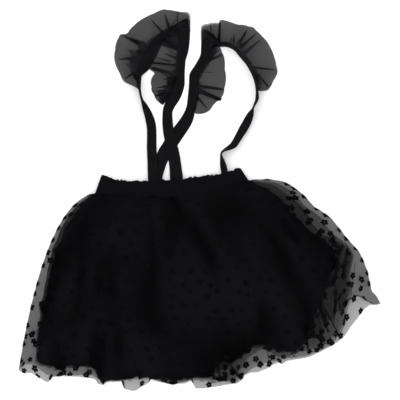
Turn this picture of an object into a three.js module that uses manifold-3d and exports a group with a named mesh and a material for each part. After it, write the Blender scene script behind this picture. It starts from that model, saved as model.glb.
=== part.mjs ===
// A child's suspender skirt of black tulle, laid flat with its front up.
//
// Millimetres, +Z up, +Y towards the shoulders. The surface it lies on is z = 0 and the origin is the
// middle of the garment's outline on that surface. Left and right are the viewer's, seen from above.
//
// The back panels lie flat on the surface. The front panels lie on them and rise in soft folds that
// fan out from the waist seam. The straps run from the waistband to a fold at each shoulder and back,
// and the two back halves cross.

import * as THREE from 'three';
import { mergeVertices } from 'three/addons/utils/BufferGeometryUtils.js';
import Module from 'manifold-3d';

const wasm = await Module();
wasm.setup();

// Driving sizes.
const CLOTH = 1.0; // wall of a tulle or lining panel
const GAP = 0.3; // clearance at a seam and between two layers
const SEAM_GAP = 0.45; // the same across a curved seam, whose straight steps come closer
const LAYER = CLOTH + GAP; // height from one layer to the next
const CASING = 3.0; // wall of the elastic casing, with its elastic
const TAPE = 1.2; // wall of the shoulder tape
const RUFFLE = 1.2; // wall of the ruffle, a strip folded double
const PUFF = 9; // most that the front folds rise
const LINING_SHARE = 0.4; // share of that rise which the lining follows
const PETTICOAT_SHARE = 0.7; // and the petticoat
const SIDE_SEAM = 3; // width of the turned edge at a side seam
const HIGH = 60; // taller than anything here, for the cutting outlines

// The waistband, left to right: its top edge and the seam under it.
const BAND_TOP = [
  { x: -148, y: 35 },
  { x: -122, y: 29 },
  { x: -52, y: 30 },
  { x: 0, y: 35 },
  { x: 34, y: 39 },
  { x: 62, y: 46 },
];
const BAND_SEAM = [
  { x: -157, y: 9 },
  { x: -100, y: 4.5 },
  { x: -42, y: 4 },
  { x: 17, y: 12.5 },
  { x: 74, y: 28.5 },
];

// Sections of the skirt, left to right. at: place along the seam, from 0 to 1. turn: heading of the
// section in degrees, 270 towards the hem. reach: length that surely passes the hem.
const FAN = [
  { at: 0.0, turn: 176, reach: 45 },
  { at: 0.05, turn: 200, reach: 75 },
  { at: 0.1, turn: 217, reach: 125 },
  { at: 0.16, turn: 230, reach: 225 },
  { at: 0.23, turn: 241, reach: 320 },
  { at: 0.33, turn: 251, reach: 310 },
  { at: 0.45, turn: 261, reach: 312 },
  { at: 0.56, turn: 271, reach: 305 },
  { at: 0.67, turn: 281, reach: 312 },
  { at: 0.78, turn: 293, reach: 300 },
  { at: 0.86, turn: 307, reach: 310 },
  { at: 0.92, turn: 320, reach: 305 },
  { at: 0.96, turn: 334, reach: 230 },
  { at: 0.985, turn: 348, reach: 125 },
  { at: 1.0, turn: 362, reach: 65 },
];
const FAN_STEPS = 3; // columns to each section
const SEAM_STEPS = 24; // steps of a panel's edge along the seam
const SIDE_STEPS = 14; // steps of a side's curve
const BAND_STEPS = 24; // steps of the casing along its length
const PANEL_ROWS = [0, 0.06, 0.15, 0.27, 0.41, 0.56, 0.71, 0.86, 1];

// Where the front rises off the panels under it, as shares of the way down or along the seam.
const FULL_BELOW_SEAM = 0.22; // it is at its full height this far below the seam
const SINKS_FROM = 0.55; // and sinks again from here to the hem
const SUNK_AT_HEM = 0.7; // share of the height that is lost at the hem
const FULL_FROM_LEFT = 0.3; // full height this far from the left side
const FULL_FROM_RIGHT = 0.16; // and this far from the right side
const TROUGH_TAIL = 0.2; // a trough runs on past its ends by this share of its length
const TROUGH_FADE = 0.35; // and fades over this share

// The large folds of the front: troughs that run from one place to another, each given by a place
// along the seam and a share of the way down. wide is the half width along the seam.
const TROUGHS = [
  { at: 0.07, down: 0.2, endAt: 0.11, endDown: 0.75, wide: 0.018, deep: 0.45 },
  { at: 0.16, down: 0.1, endAt: 0.28, endDown: 0.72, wide: 0.022, deep: 0.85 },
  { at: 0.36, down: 0.25, endAt: 0.33, endDown: 0.8, wide: 0.022, deep: 0.5 },
  { at: 0.55, down: 0.1, endAt: 0.49, endDown: 0.4, wide: 0.018, deep: 0.6 },
  { at: 0.45, down: 0.6, endAt: 0.45, endDown: 1.1, wide: 0.025, deep: 0.6 },
  { at: 0.58, down: 0.15, endAt: 0.65, endDown: 0.78, wide: 0.022, deep: 0.9 },
  { at: 0.68, down: 0.15, endAt: 0.7, endDown: 0.4, wide: 0.015, deep: 0.5 },
  { at: 0.76, down: 0.6, endAt: 0.76, endDown: 1.1, wide: 0.02, deep: 0.6 },
  { at: 0.82, down: 0.08, endAt: 0.83, endDown: 0.4, wide: 0.018, deep: 0.8 },
  { at: 0.91, down: 0.25, endAt: 0.87, endDown: 0.65, wide: 0.018, deep: 0.85 },
  { at: 0.96, down: 0.3, endAt: 0.945, endDown: 0.9, wide: 0.012, deep: 0.5 },
];

// Outlines of the panels below the seam. Each runs down the left side, along the hem and up the right
// side, between two places on the seam. The sides are curves with the handles named here.
const OVERLAY_BACK = {
  seam: { from: 0, to: 1 },
  leftHandle: { x: -232, y: 0 },
  hem: [
    { x: -271.6, y: -255 },
    { x: -252, y: -260 },
    { x: -228, y: -274 },
    { x: -218, y: -265 },
    { x: -158, y: -268 },
    { x: -148, y: -277 },
    { x: -118, y: -271 },
    { x: -112, y: -284 },
    { x: -98, y: -286.5 },
    { x: -75, y: -270 },
    { x: -43, y: -277 },
    { x: -13, y: -271 },
    { x: -6, y: -283 },
    { x: 56, y: -275 },
    { x: 72, y: -260 },
    { x: 100, y: -254 },
    { x: 118, y: -244 },
    { x: 152, y: -238 },
    { x: 184, y: -226 },
    { x: 216, y: -205 },
    { x: 247, y: -165 },
    { x: 253, y: -150 },
    { x: 256, y: -133 },
  ],
  rightHandles: [
    { x: 252, y: -70 },
    { x: 160, y: 45 },
  ],
};
const OVERLAY_FRONT = {
  seam: { from: 0, to: 1 },
  leftHandle: { x: -232, y: 0 },
  hem: [
    { x: -271.6, y: -255 },
    { x: -248, y: -258 },
    { x: -228, y: -272 },
    { x: -216, y: -262 },
    { x: -160, y: -262 },
    { x: -148, y: -272 },
    { x: -116, y: -268 },
    { x: -75, y: -266 },
    { x: -43, y: -274 },
    { x: -10, y: -267 },
    { x: 54, y: -272 },
    { x: 74, y: -254 },
    { x: 118, y: -240 },
    { x: 160, y: -234 },
    { x: 198, y: -216 },
    { x: 218, y: -187 },
    { x: 227, y: -146 },
    { x: 247, y: -149 },
    { x: 264, y: -157.5 },
    { x: 271.6, y: -154.5 },
    { x: 256, y: -133 },
  ],
  rightHandles: [
    { x: 252, y: -70 },
    { x: 160, y: 45 },
  ],
};
const PETTICOAT = {
  seam: { from: 0.05, to: 0.94 },
  leftHandle: { x: -240, y: -26 },
  hem: [
    { x: -247, y: -243 },
    { x: -227, y: -252 },
    { x: -208, y: -254 },
    { x: -159, y: -251 },
    { x: -148, y: -271 },
    { x: -104, y: -268.5 },
    { x: -75, y: -267 },
    { x: -38, y: -271 },
    { x: 38, y: -271 },
    { x: 54, y: -265 },
    { x: 64, y: -250 },
    { x: 96, y: -222 },
    { x: 139, y: -231 },
    { x: 178, y: -220 },
    { x: 208, y: -196 },
    { x: 220, y: -168 },
    { x: 228, y: -134 },
    { x: 230, y: -82 },
  ],
  rightHandles: [
    { x: 206, y: -45 },
    { x: 135, y: 20 },
  ],
};
const LINING = {
  seam: { from: 0.09, to: 0.91 },
  leftHandle: { x: -240, y: -50 },
  hem: [
    { x: -241, y: -238 },
    { x: -225, y: -249.5 },
    { x: -171, y: -247 },
    { x: -159, y: -248 },
    { x: -147, y: -267 },
    { x: -90, y: -262.5 },
    { x: -37, y: -266 },
    { x: 19, y: -263 },
    { x: 24, y: -251 },
    { x: 40, y: -241 },
    { x: 62, y: -230 },
    { x: 94, y: -214 },
    { x: 139, y: -223 },
    { x: 156, y: -214 },
  ],
  rightHandles: [
    { x: 232, y: -110 },
    { x: 200, y: -30 },
  ],
};

// Heights. A panel's place in the stack, counted in layers from the surface up.
const LAYERS = { overlayBack: 0, petticoatBack: 1, liningBack: 2, lining: 3, petticoat: 4, overlay: 5 };
const LIE = TAPE / 2; // middle of a tape that lies on the surface
const OVER = LIE + TAPE + GAP; // middle of a tape that lies on another
const UNDER_BACK = CASING + GAP + LIE; // a back tape's end, on the back casing
const UNDER_FRONT = UNDER_BACK + TAPE + GAP; // a front tape's end, above it
const OVER_TAPES = UNDER_FRONT + LIE + GAP; // the front casing's underside over the tape ends
const OVER_SEAM = CASING + 4 * GAP; // the front casing's underside at the seam
const SETTLED = 0.6; // share of the way up to the tape ends that it has risen by a quarter of its height
const STEADY = 7.6; // middle of a tape that stands on its inner edge

// The front casing's underside, from the seam to the top edge.
const CASING_RISE = [
  { share: 0, z: OVER_SEAM },
  { share: 0.25, z: mix(OVER_SEAM, OVER_TAPES, SETTLED) },
  { share: 0.5, z: OVER_TAPES },
  { share: 1, z: OVER_TAPES },
];

// The shoulder tapes, each from the waistband to its shoulder fold. z is the height of the tape's
// middle and tilt its roll in degrees, with the outer edge up where it is positive.
const STRAP_LEFT_FRONT = [
  { x: -70, y: 22, z: UNDER_FRONT, tilt: 0, width: 15 },
  { x: -70, y: 34, z: UNDER_FRONT, tilt: 0, width: 15 },
  { x: -71, y: 58, z: 4.25, tilt: 2, width: 15 },
  { x: -72, y: 80, z: 2.7, tilt: 4, width: 15 },
  { x: -72, y: 105, z: 1.7, tilt: 5, width: 14 },
  { x: -75, y: 122, z: 3.2, tilt: 18, width: 14 },
  { x: -81, y: 138, z: 6.0, tilt: 50, width: 14 },
  { x: -87, y: 152, z: STEADY, tilt: 78, width: 14 },
  { x: -90, y: 168, z: STEADY, tilt: 78, width: 14 },
  { x: -90, y: 186, z: STEADY, tilt: 66, width: 15 },
  { x: -84, y: 204, z: 6.4, tilt: 38, width: 15 },
  { x: -71, y: 226, z: 4.8, tilt: 18, width: 16 },
  { x: -56, y: 243, z: 3.2, tilt: 5, width: 16 },
  { x: -38, y: 254, z: OVER, tilt: 0, width: 18 },
  { x: -19, y: 262, z: OVER, tilt: 0, width: 20 },
];
const STRAP_LEFT_BACK = [
  { x: -35.5, y: 22, z: UNDER_BACK, tilt: 0, width: 18 },
  { x: -36, y: 34, z: UNDER_BACK, tilt: 0, width: 18 },
  { x: -39, y: 58, z: 2.9, tilt: 0, width: 17 },
  { x: -42.5, y: 78, z: OVER, tilt: 0, width: 16 },
  { x: -47.5, y: 108, z: OVER, tilt: 0, width: 16 },
  { x: -48.5, y: 130, z: LIE, tilt: 0, width: 15 },
  { x: -45, y: 142, z: LIE, tilt: 0, width: 16 },
  { x: -37, y: 155, z: LIE, tilt: 0, width: 16 },
  { x: -31, y: 170, z: LIE, tilt: 0, width: 15 },
  { x: -29.5, y: 190, z: LIE, tilt: 0, width: 14 },
  { x: -28, y: 208, z: LIE, tilt: 0, width: 14 },
  { x: -25, y: 226, z: LIE, tilt: 0, width: 16 },
  { x: -24, y: 246, z: LIE, tilt: 0, width: 18 },
  { x: -23.5, y: 262, z: LIE, tilt: 0, width: 18 },
];
const STRAP_RIGHT_FRONT = [
  { x: 37, y: 32, z: UNDER_FRONT, tilt: 0, width: 10 },
  { x: 37, y: 42, z: UNDER_FRONT, tilt: 0, width: 10 },
  { x: 34, y: 57, z: 6.0, tilt: 52, width: 12 },
  { x: 32, y: 68, z: 7.2, tilt: 80, width: 13 },
  { x: 36, y: 74, z: 7.2, tilt: 74, width: 14 },
  { x: 46, y: 82, z: 6.6, tilt: 58, width: 14 },
  { x: 57, y: 95, z: 5.4, tilt: 40, width: 15 },
  { x: 67, y: 112, z: 5.2, tilt: 36, width: 15 },
  { x: 75, y: 127, z: 6.2, tilt: 50, width: 14 },
  { x: 80, y: 138, z: STEADY, tilt: 80, width: 14 },
  { x: 86, y: 152, z: STEADY, tilt: 70, width: 14 },
  { x: 85.5, y: 166, z: STEADY, tilt: 78, width: 14 },
  { x: 81, y: 184, z: STEADY, tilt: 80, width: 14 },
  { x: 71, y: 203, z: STEADY, tilt: 80, width: 14 },
  { x: 61, y: 215, z: STEADY, tilt: 80, width: 14 },
  { x: 53, y: 225, z: STEADY, tilt: 78, width: 14 },
  { x: 42, y: 229, z: STEADY, tilt: 62, width: 15 },
  { x: 27, y: 230, z: 5.2, tilt: 16, width: 16 },
  { x: 9, y: 240, z: OVER, tilt: 0, width: 18 },
];
const STRAP_RIGHT_BACK = [
  { x: -64, y: 22, z: UNDER_BACK, tilt: 0, width: 16 },
  { x: -64, y: 34, z: UNDER_BACK, tilt: 0, width: 16 },
  { x: -59, y: 52, z: 1.5, tilt: 0, width: 16 },
  { x: -50, y: 72, z: LIE, tilt: 0, width: 16 },
  { x: -39, y: 90, z: LIE, tilt: 0, width: 16 },
  { x: -28, y: 106, z: LIE, tilt: 0, width: 16 },
  { x: -18, y: 122, z: LIE, tilt: 0, width: 16 },
  { x: -13, y: 140, z: LIE, tilt: 0, width: 14 },
  { x: -11, y: 160, z: LIE, tilt: 0, width: 13 },
  { x: -10, y: 176, z: LIE, tilt: 0, width: 12 },
  { x: -9, y: 187, z: LIE, tilt: 0, width: 13 },
  { x: 0, y: 201, z: LIE, tilt: 0, width: 13 },
  { x: 7, y: 216, z: LIE, tilt: 0, width: 13 },
  { x: 9, y: 232, z: LIE, tilt: 0, width: 14 },
  { x: 9.5, y: 250, z: LIE, tilt: 0, width: 15 },
];
const TAPE_STEPS = 2; // sections of a tape to each row of its table
const NEAR = 0.002; // step along a table's rows, from 0 to 1, that a heading is taken over

// The ruffles, each sewn along a tape's outer edge. on: the tape's row beside which a section starts.
// x, y, z: where the section ends, on the folded outer edge. flute: how much the flutes rise there.
const RUFFLE_LEFT_FRONT = [
  { on: 7.8, x: -103, y: 169, z: 3, flute: 2.5 },
  { on: 8.4, x: -114, y: 178.5, z: 5, flute: 4 },
  { on: 9.0, x: -125, y: 198, z: 6, flute: 4.5 },
  { on: 9.5, x: -128, y: 220, z: 6, flute: 4.5 },
  { on: 10.1, x: -123, y: 240, z: 6, flute: 4.5 },
  { on: 10.8, x: -110, y: 250, z: 6, flute: 4.5 },
  { on: 11.4, x: -83, y: 273, z: 6, flute: 4.5 },
  { on: 12.2, x: -54, y: 286.5, z: 6, flute: 4.5 },
  { on: 13.0, x: -35, y: 283, z: 5, flute: 4 },
  { on: 13.9, x: -16, y: 278, z: 4, flute: 2.5 },
];
const RUFFLE_LEFT_BACK = [
  { on: 6.2, x: -57, y: 143, z: 2, flute: 1.5 },
  { on: 6.7, x: -64, y: 149, z: 3, flute: 3.5 },
  { on: 7.4, x: -71, y: 160, z: 4, flute: 4.5 },
  { on: 8.4, x: -73, y: 174, z: 4, flute: 4.5 },
  { on: 9.2, x: -71, y: 189, z: 4, flute: 4.5 },
  { on: 9.9, x: -73, y: 201, z: 4, flute: 4.5 },
  { on: 10.5, x: -66, y: 212, z: 3.5, flute: 4 },
  { on: 11.1, x: -57, y: 224, z: 2.5, flute: 3 },
  { on: 11.8, x: -45, y: 235, z: 1.5, flute: 1.5 },
];
const RUFFLE_RIGHT_FRONT = [
  { on: 10.8, x: 97, y: 163, z: 3, flute: 2.5 },
  { on: 11.4, x: 108, y: 173, z: 5, flute: 4 },
  { on: 12.2, x: 116, y: 197, z: 6, flute: 4.5 },
  { on: 13.0, x: 109, y: 222, z: 6, flute: 4.5 },
  { on: 13.8, x: 99, y: 240, z: 6, flute: 4.5 },
  { on: 14.6, x: 85, y: 257, z: 6, flute: 4.5 },
  { on: 15.3, x: 66, y: 262, z: 6, flute: 4.5 },
  { on: 15.9, x: 46, y: 266, z: 6, flute: 4.5 },
  { on: 16.5, x: 33, y: 269, z: 6, flute: 4.5 },
  { on: 17.2, x: 14, y: 265, z: 5, flute: 4 },
  { on: 17.9, x: 4, y: 258, z: 4, flute: 2.5 },
];
const RUFFLE_RIGHT_BACK = [
  { on: 6.6, x: 0, y: 129.5, z: 2, flute: 1.5 },
  { on: 7.2, x: 20, y: 137, z: 3, flute: 3.5 },
  { on: 7.9, x: 32, y: 150, z: 4, flute: 4.5 },
  { on: 8.7, x: 37, y: 168, z: 4, flute: 4.5 },
  { on: 9.6, x: 38.5, y: 186, z: 4, flute: 4.5 },
  { on: 10.6, x: 37, y: 202, z: 4, flute: 4 },
  { on: 11.3, x: 34, y: 214, z: 3, flute: 3 },
  { on: 11.9, x: 28, y: 220, z: 1.5, flute: 1.5 },
];
const RUFFLE_ROWS = [0, 0.3, 0.65, 1];
const FLUTE_COLUMNS = 4; // columns to each flute
const FLUTE_AT_SEAM = 0.35; // share of a flute's rise that is left at the gathered edge
const FLUTE_GROWS = 1.6; // a flute is full at this part of the way out, as 1 over it

// Colours of the finishes.
const FINISH = {
  dotted: { color: 0x2b2a2d, roughness: 0.9 },
  plain: { color: 0x1d1c20, roughness: 0.9 },
  lining: { color: 0x0c0b0d, roughness: 0.85 },
  casing: { color: 0x111112, roughness: 0.9 },
  tape: { color: 0x18181a, roughness: 0.8 },
  ruffle: { color: 0x3d3d41, roughness: 0.7 },
};

// Small helpers.

function mix(a, b, share) {
  return a + (b - a) * share;
}

function ease(value) {
  const t = Math.min(Math.max(value, 0), 1);
  return t * t * (3 - 2 * t);
}

// A slope that keeps a smooth step of the given height from swinging past its ends.
function held(slope, step) {
  return step === 0 ? 0 : step * Math.min(Math.max(slope / step, 0), 3);
}

// A smooth value of every column of a table at a place from 0 to 1 along its rows.
function along(table, place) {
  const at = Math.min(Math.max(place, 0), 1) * (table.length - 1);
  const index = Math.min(Math.floor(at), table.length - 2);
  const share = at - index;
  const before = table[Math.max(index - 1, 0)];
  const start = table[index];
  const end = table[index + 1];
  const after = table[Math.min(index + 2, table.length - 1)];
  const values = {};
  for (const name of Object.keys(start)) {
    const step = end[name] - start[name];
    const leave = held((end[name] - before[name]) / 2, step);
    const arrive = held((after[name] - start[name]) / 2, step);
    const square = 3 * step - 2 * leave - arrive;
    const cubic = leave + arrive - 2 * step;
    values[name] = start[name] + share * (leave + share * (square + share * cubic));
  }
  return values;
}

// Solids and geometries.

function toSolid(geometry) {
  geometry.deleteAttribute('normal');
  geometry.deleteAttribute('uv');
  const merged = mergeVertices(geometry, 1e-5);
  const vertProperties = new Float32Array(merged.attributes.position.array);
  const triVerts = new Uint32Array(merged.index.array);
  return new wasm.Manifold(new wasm.Mesh({ numProp: 3, vertProperties, triVerts }));
}

function toGeometry(solid) {
  const mesh = solid.getMesh();
  const geometry = new THREE.BufferGeometry();
  const positions = new Float32Array(mesh.numVert * 3);
  for (let vertex = 0; vertex < mesh.numVert; vertex += 1) {
    for (let axis = 0; axis < 3; axis += 1) {
      positions[vertex * 3 + axis] = mesh.vertProperties[vertex * mesh.numProp + axis];
    }
  }
  geometry.setAttribute('position', new THREE.BufferAttribute(positions, 3));
  geometry.setIndex(new THREE.BufferAttribute(new Uint32Array(mesh.triVerts), 1));
  return geometry;
}

// A closed wall between two grids of points of the same size: under and over are lists of rows.
function wall(under, over) {
  const rows = under.length;
  const columns = under[0].length;
  const points = [...under.flat(), ...over.flat()];
  const faces = [];
  const low = (row, column) => row * columns + column;
  const high = (row, column) => rows * columns + low(row, column);
  const quad = (a, b, c, d) => faces.push(a, b, c, a, c, d);
  for (let row = 0; row < rows - 1; row += 1) {
    for (let column = 0; column < columns - 1; column += 1) {
      const right = column + 1;
      quad(low(row, column), low(row, right), low(row + 1, right), low(row + 1, column));
      quad(high(row, column), high(row + 1, column), high(row + 1, right), high(row, right));
    }
    quad(low(row, 0), low(row + 1, 0), high(row + 1, 0), high(row, 0));
    const last = columns - 1;
    quad(low(row, last), high(row, last), high(row + 1, last), low(row + 1, last));
  }
  for (let column = 0; column < columns - 1; column += 1) {
    quad(low(0, column), high(0, column), high(0, column + 1), low(0, column + 1));
    const last = rows - 1;
    quad(low(last, column), low(last, column + 1), high(last, column + 1), high(last, column));
  }
  const geometry = new THREE.BufferGeometry();
  const positions = points.flatMap((point) => point.toArray());
  geometry.setAttribute('position', new THREE.Float32BufferAttribute(positions, 3));
  geometry.setIndex(faces);
  return facingOut(geometry);
}

// Turns a closed mesh's faces over where they point in.
function facingOut(geometry) {
  const position = geometry.attributes.position;
  const index = geometry.index.array;
  const corners = [new THREE.Vector3(), new THREE.Vector3(), new THREE.Vector3()];
  let volume = 0;
  for (let face = 0; face < index.length; face += 3) {
    corners.forEach((corner, place) => corner.fromBufferAttribute(position, index[face + place]));
    volume += corners[0].dot(corners[1].clone().cross(corners[2]));
  }
  if (volume < 0) {
    for (let face = 0; face < index.length; face += 3) {
      [index[face], index[face + 1]] = [index[face + 1], index[face]];
    }
  }
  return geometry;
}

function plate(shape, low, high) {
  const options = { depth: high - low, bevelEnabled: false, curveSegments: SIDE_STEPS };
  const geometry = new THREE.ExtrudeGeometry(shape, options);
  geometry.translate(0, 0, low);
  return geometry;
}

// The waist seam and the fan of sections under it.

// A point on the seam, moved towards the hem by the clearance.
function seamPoint(place) {
  const point = along(BAND_SEAM, place);
  return new THREE.Vector2(point.x, point.y - SEAM_GAP);
}

// A point of the skirt at a column of the fan and a share of the way down.
function fanPoint(place, down) {
  const section = along(FAN, place);
  const start = seamPoint(section.at);
  const heading = THREE.MathUtils.degToRad(section.turn);
  const length = section.reach * down;
  return new THREE.Vector2(start.x + Math.cos(heading) * length, start.y + Math.sin(heading) * length);
}

// How far the front has risen at a place of the fan: nothing at the seam, little at the sides and the
// hem, full between them, and cut by the troughs.
function rise(at, down) {
  const fromSeam = ease(down / FULL_BELOW_SEAM);
  const toHem = 1 - SUNK_AT_HEM * ease((down - SINKS_FROM) / (1 - SINKS_FROM));
  const fromSides = ease(at / FULL_FROM_LEFT) * ease((1 - at) / FULL_FROM_RIGHT);
  let left = 1;
  for (const trough of TROUGHS) {
    const share = (down - trough.down) / (trough.endDown - trough.down);
    const off = (at - mix(trough.at, trough.endAt, share)) / trough.wide;
    const start = ease((share + TROUGH_TAIL) / TROUGH_FADE);
    const end = ease((1 + TROUGH_TAIL - share) / TROUGH_FADE);
    left -= trough.deep * start * end * Math.exp(-off * off);
  }
  return PUFF * fromSeam * toHem * fromSides * Math.max(left, 0);
}

// A solid over the whole fan. Its top follows a share of the rise, CLOTH above the given level, and
// its underside runs CLOTH below that or, where a foot is given, at that height.
function fanSolid(level, share, foot = null) {
  const columns = (FAN.length - 1) * FAN_STEPS;
  const under = [];
  const over = [];
  for (const down of PANEL_ROWS) {
    const lowRow = [];
    const highRow = [];
    for (let column = 0; column <= columns; column += 1) {
      const place = column / columns;
      const point = fanPoint(place, down);
      const z = level + share * rise(along(FAN, place).at, down);
      lowRow.push(new THREE.Vector3(point.x, point.y, foot === null ? z : foot));
      highRow.push(new THREE.Vector3(point.x, point.y, z + CLOTH));
    }
    under.push(lowRow);
    over.push(highRow);
  }
  return toSolid(wall(under, over));
}

// A panel's outline: down the left side, along the hem, up the right side and back along the seam.
// lift moves the seam's edge up, where the outline only has to cut below it.
function panelShape(outline, lift = 0) {
  const shape = new THREE.Shape();
  const { from, to } = outline.seam;
  const start = seamPoint(from);
  const end = seamPoint(to);
  const [corner, ...hem] = outline.hem;
  const [lower, upper] = outline.rightHandles;
  shape.moveTo(start.x, start.y);
  shape.quadraticCurveTo(outline.leftHandle.x, outline.leftHandle.y, corner.x, corner.y);
  hem.forEach((point) => shape.lineTo(point.x, point.y));
  shape.bezierCurveTo(lower.x, lower.y, upper.x, upper.y, end.x, end.y);
  for (let step = SEAM_STEPS - 1; step > 0; step -= 1) {
    const point = seamPoint(mix(from, to, step / SEAM_STEPS));
    shape.lineTo(point.x, point.y + lift);
  }
  return shape;
}

// A strip inside one side of an outline, as wide as a side seam's turned edge.
function sideStrip(curve) {
  const points = curve.getPoints(SIDE_STEPS);
  const inner = points.map((point, step) => {
    const tangent = curve.getTangent(step / SIDE_STEPS);
    return new THREE.Vector2(point.x - tangent.y * SIDE_SEAM, point.y + tangent.x * SIDE_SEAM);
  });
  return new THREE.Shape([...points, ...inner.reverse()]);
}

function sideCurves(outline) {
  const { from, to } = outline.seam;
  const [corner] = outline.hem;
  const last = outline.hem[outline.hem.length - 1];
  const [lower, upper] = outline.rightHandles;
  const vector = ({ x, y }) => new THREE.Vector2(x, y);
  return [
    new THREE.QuadraticBezierCurve(seamPoint(from), vector(outline.leftHandle), vector(corner)),
    new THREE.CubicBezierCurve(vector(last), vector(lower), vector(upper), seamPoint(to)),
  ];
}

// A back panel: flat, cut to its outline.
function backPanel(outline, layer) {
  const level = layer * LAYER;
  return toSolid(plate(panelShape(outline), level, level + CLOTH));
}

// A front panel: a wall that follows its share of the folds, cut to its outline. Where mate names
// the back panel's layer, its sides are turned down to that panel.
function frontPanel(outline, layer, share, mate = null) {
  const level = layer * LAYER;
  let panel = fanSolid(level, share);
  if (mate !== null) {
    const foot = (mate + 1) * LAYER;
    const block = fanSolid(level, share, foot);
    for (const curve of sideCurves(outline)) {
      const strip = toSolid(plate(sideStrip(curve), foot - 1, HIGH));
      panel = panel.add(block.intersect(strip));
    }
  }
  return panel.intersect(toSolid(plate(panelShape(outline, 2 * SIDE_SEAM), -HIGH, HIGH)));
}

// The casing: a wall between the seam and the top edge. rows gives its underside on the way up.
function casing(rows) {
  const under = [];
  const over = [];
  for (const { share, z } of rows) {
    const lowRow = [];
    const highRow = [];
    for (let step = 0; step <= BAND_STEPS; step += 1) {
      const top = along(BAND_TOP, step / BAND_STEPS);
      const seam = along(BAND_SEAM, step / BAND_STEPS);
      const x = mix(seam.x, top.x, share);
      const y = mix(seam.y, top.y, share);
      lowRow.push(new THREE.Vector3(x, y, z));
      highRow.push(new THREE.Vector3(x, y, z + CASING));
    }
    under.push(lowRow);
    over.push(highRow);
  }
  return wall(under, over);
}

// The straps and their ruffles.

// A tape's section at a place from 0 to 1: its middle, the plan direction to its outer edge (side is
// 1 where that is on the left of the way up, -1 on the right), and the tilted directions across it
// and through it.
function tapeSection(table, side, place) {
  const { x, y, z, tilt, width } = along(table, place);
  const before = along(table, Math.max(place - NEAR, 0));
  const after = along(table, Math.min(place + NEAR, 1));
  const heading = Math.atan2(after.y - before.y, after.x - before.x);
  const outward = new THREE.Vector3(-Math.sin(heading) * side, Math.cos(heading) * side, 0);
  const roll = THREE.MathUtils.degToRad(tilt);
  const across = outward.clone().multiplyScalar(Math.cos(roll)).setZ(Math.sin(roll));
  const through = outward.clone().multiplyScalar(-Math.sin(roll)).setZ(Math.cos(roll));
  return { middle: new THREE.Vector3(x, y, z), outward, across, through, width, roll };
}

function strap(table, side) {
  const steps = (table.length - 1) * TAPE_STEPS;
  const under = [[], []];
  const over = [[], []];
  for (let step = 0; step <= steps; step += 1) {
    const { middle, across, through, width } = tapeSection(table, side, step / steps);
    [-width / 2, width / 2].forEach((reach, row) => {
      const point = middle.clone().addScaledVector(across, reach);
      under[row].push(point.clone().addScaledVector(through, -TAPE / 2));
      over[row].push(point.clone().addScaledVector(through, TAPE / 2));
    });
  }
  return wall(under, over);
}

// A ruffle: flutes between the tape's outer edge, just clear of it, and the outer edge in its table.
function ruffle(tape, side, table) {
  const flutes = table.length - 1;
  const columns = flutes * FLUTE_COLUMNS;
  const under = RUFFLE_ROWS.map(() => []);
  const over = RUFFLE_ROWS.map(() => []);
  for (let column = 0; column <= columns; column += 1) {
    const place = column / columns;
    const end = along(table, place);
    const { middle, outward, across, width, roll } = tapeSection(tape, side, end.on / (tape.length - 1));
    const start = middle.clone().addScaledVector(across, width / 2);
    start.addScaledVector(outward, 2 * GAP + (TAPE / 2) * Math.abs(Math.sin(roll)));
    start.z = Math.max(start.z - RUFFLE / 2, 0);
    const wave = 0.5 - 0.5 * Math.cos(2 * Math.PI * flutes * place);
    RUFFLE_ROWS.forEach((share, row) => {
      const grown = mix(FLUTE_AT_SEAM, 1, ease(share * FLUTE_GROWS));
      const height = mix(start.z, end.z, share) + end.flute * wave * grown;
      const x = mix(start.x, end.x, share);
      const y = mix(start.y, end.y, share);
      under[row].push(new THREE.Vector3(x, y, height));
      over[row].push(new THREE.Vector3(x, y, height + RUFFLE));
    });
  }
  return wall(under, over);
}

// The garment.

const LEFT = 1;
const RIGHT = -1;
const group = new THREE.Group();

function addPiece(name, geometry, { color, roughness }) {
  const material = new THREE.MeshStandardMaterial({ color, roughness, metalness: 0 });
  const mesh = new THREE.Mesh(geometry, material);
  mesh.name = name;
  group.add(mesh);
}

addPiece('overlay_back', toGeometry(backPanel(OVERLAY_BACK, LAYERS.overlayBack)), FINISH.dotted);
addPiece('petticoat_back', toGeometry(backPanel(PETTICOAT, LAYERS.petticoatBack)), FINISH.plain);
addPiece('lining_back', toGeometry(backPanel(LINING, LAYERS.liningBack)), FINISH.lining);
addPiece('lining_front', toGeometry(frontPanel(LINING, LAYERS.lining, LINING_SHARE)), FINISH.lining);
addPiece(
  'petticoat_front',
  toGeometry(frontPanel(PETTICOAT, LAYERS.petticoat, PETTICOAT_SHARE, LAYERS.petticoatBack)),
  FINISH.plain,
);
addPiece(
  'overlay_front',
  toGeometry(frontPanel(OVERLAY_FRONT, LAYERS.overlay, 1, LAYERS.overlayBack)),
  FINISH.dotted,
);

addPiece('waistband_back', casing([{ share: 0, z: 0 }, { share: 1, z: 0 }]), FINISH.casing);
addPiece('waistband_front', casing(CASING_RISE), FINISH.casing);

addPiece('strap_left_front', strap(STRAP_LEFT_FRONT, LEFT), FINISH.tape);
addPiece('strap_left_back', strap(STRAP_LEFT_BACK, LEFT), FINISH.tape);
addPiece('strap_right_front', strap(STRAP_RIGHT_FRONT, RIGHT), FINISH.tape);
addPiece('strap_right_back', strap(STRAP_RIGHT_BACK, RIGHT), FINISH.tape);

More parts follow.
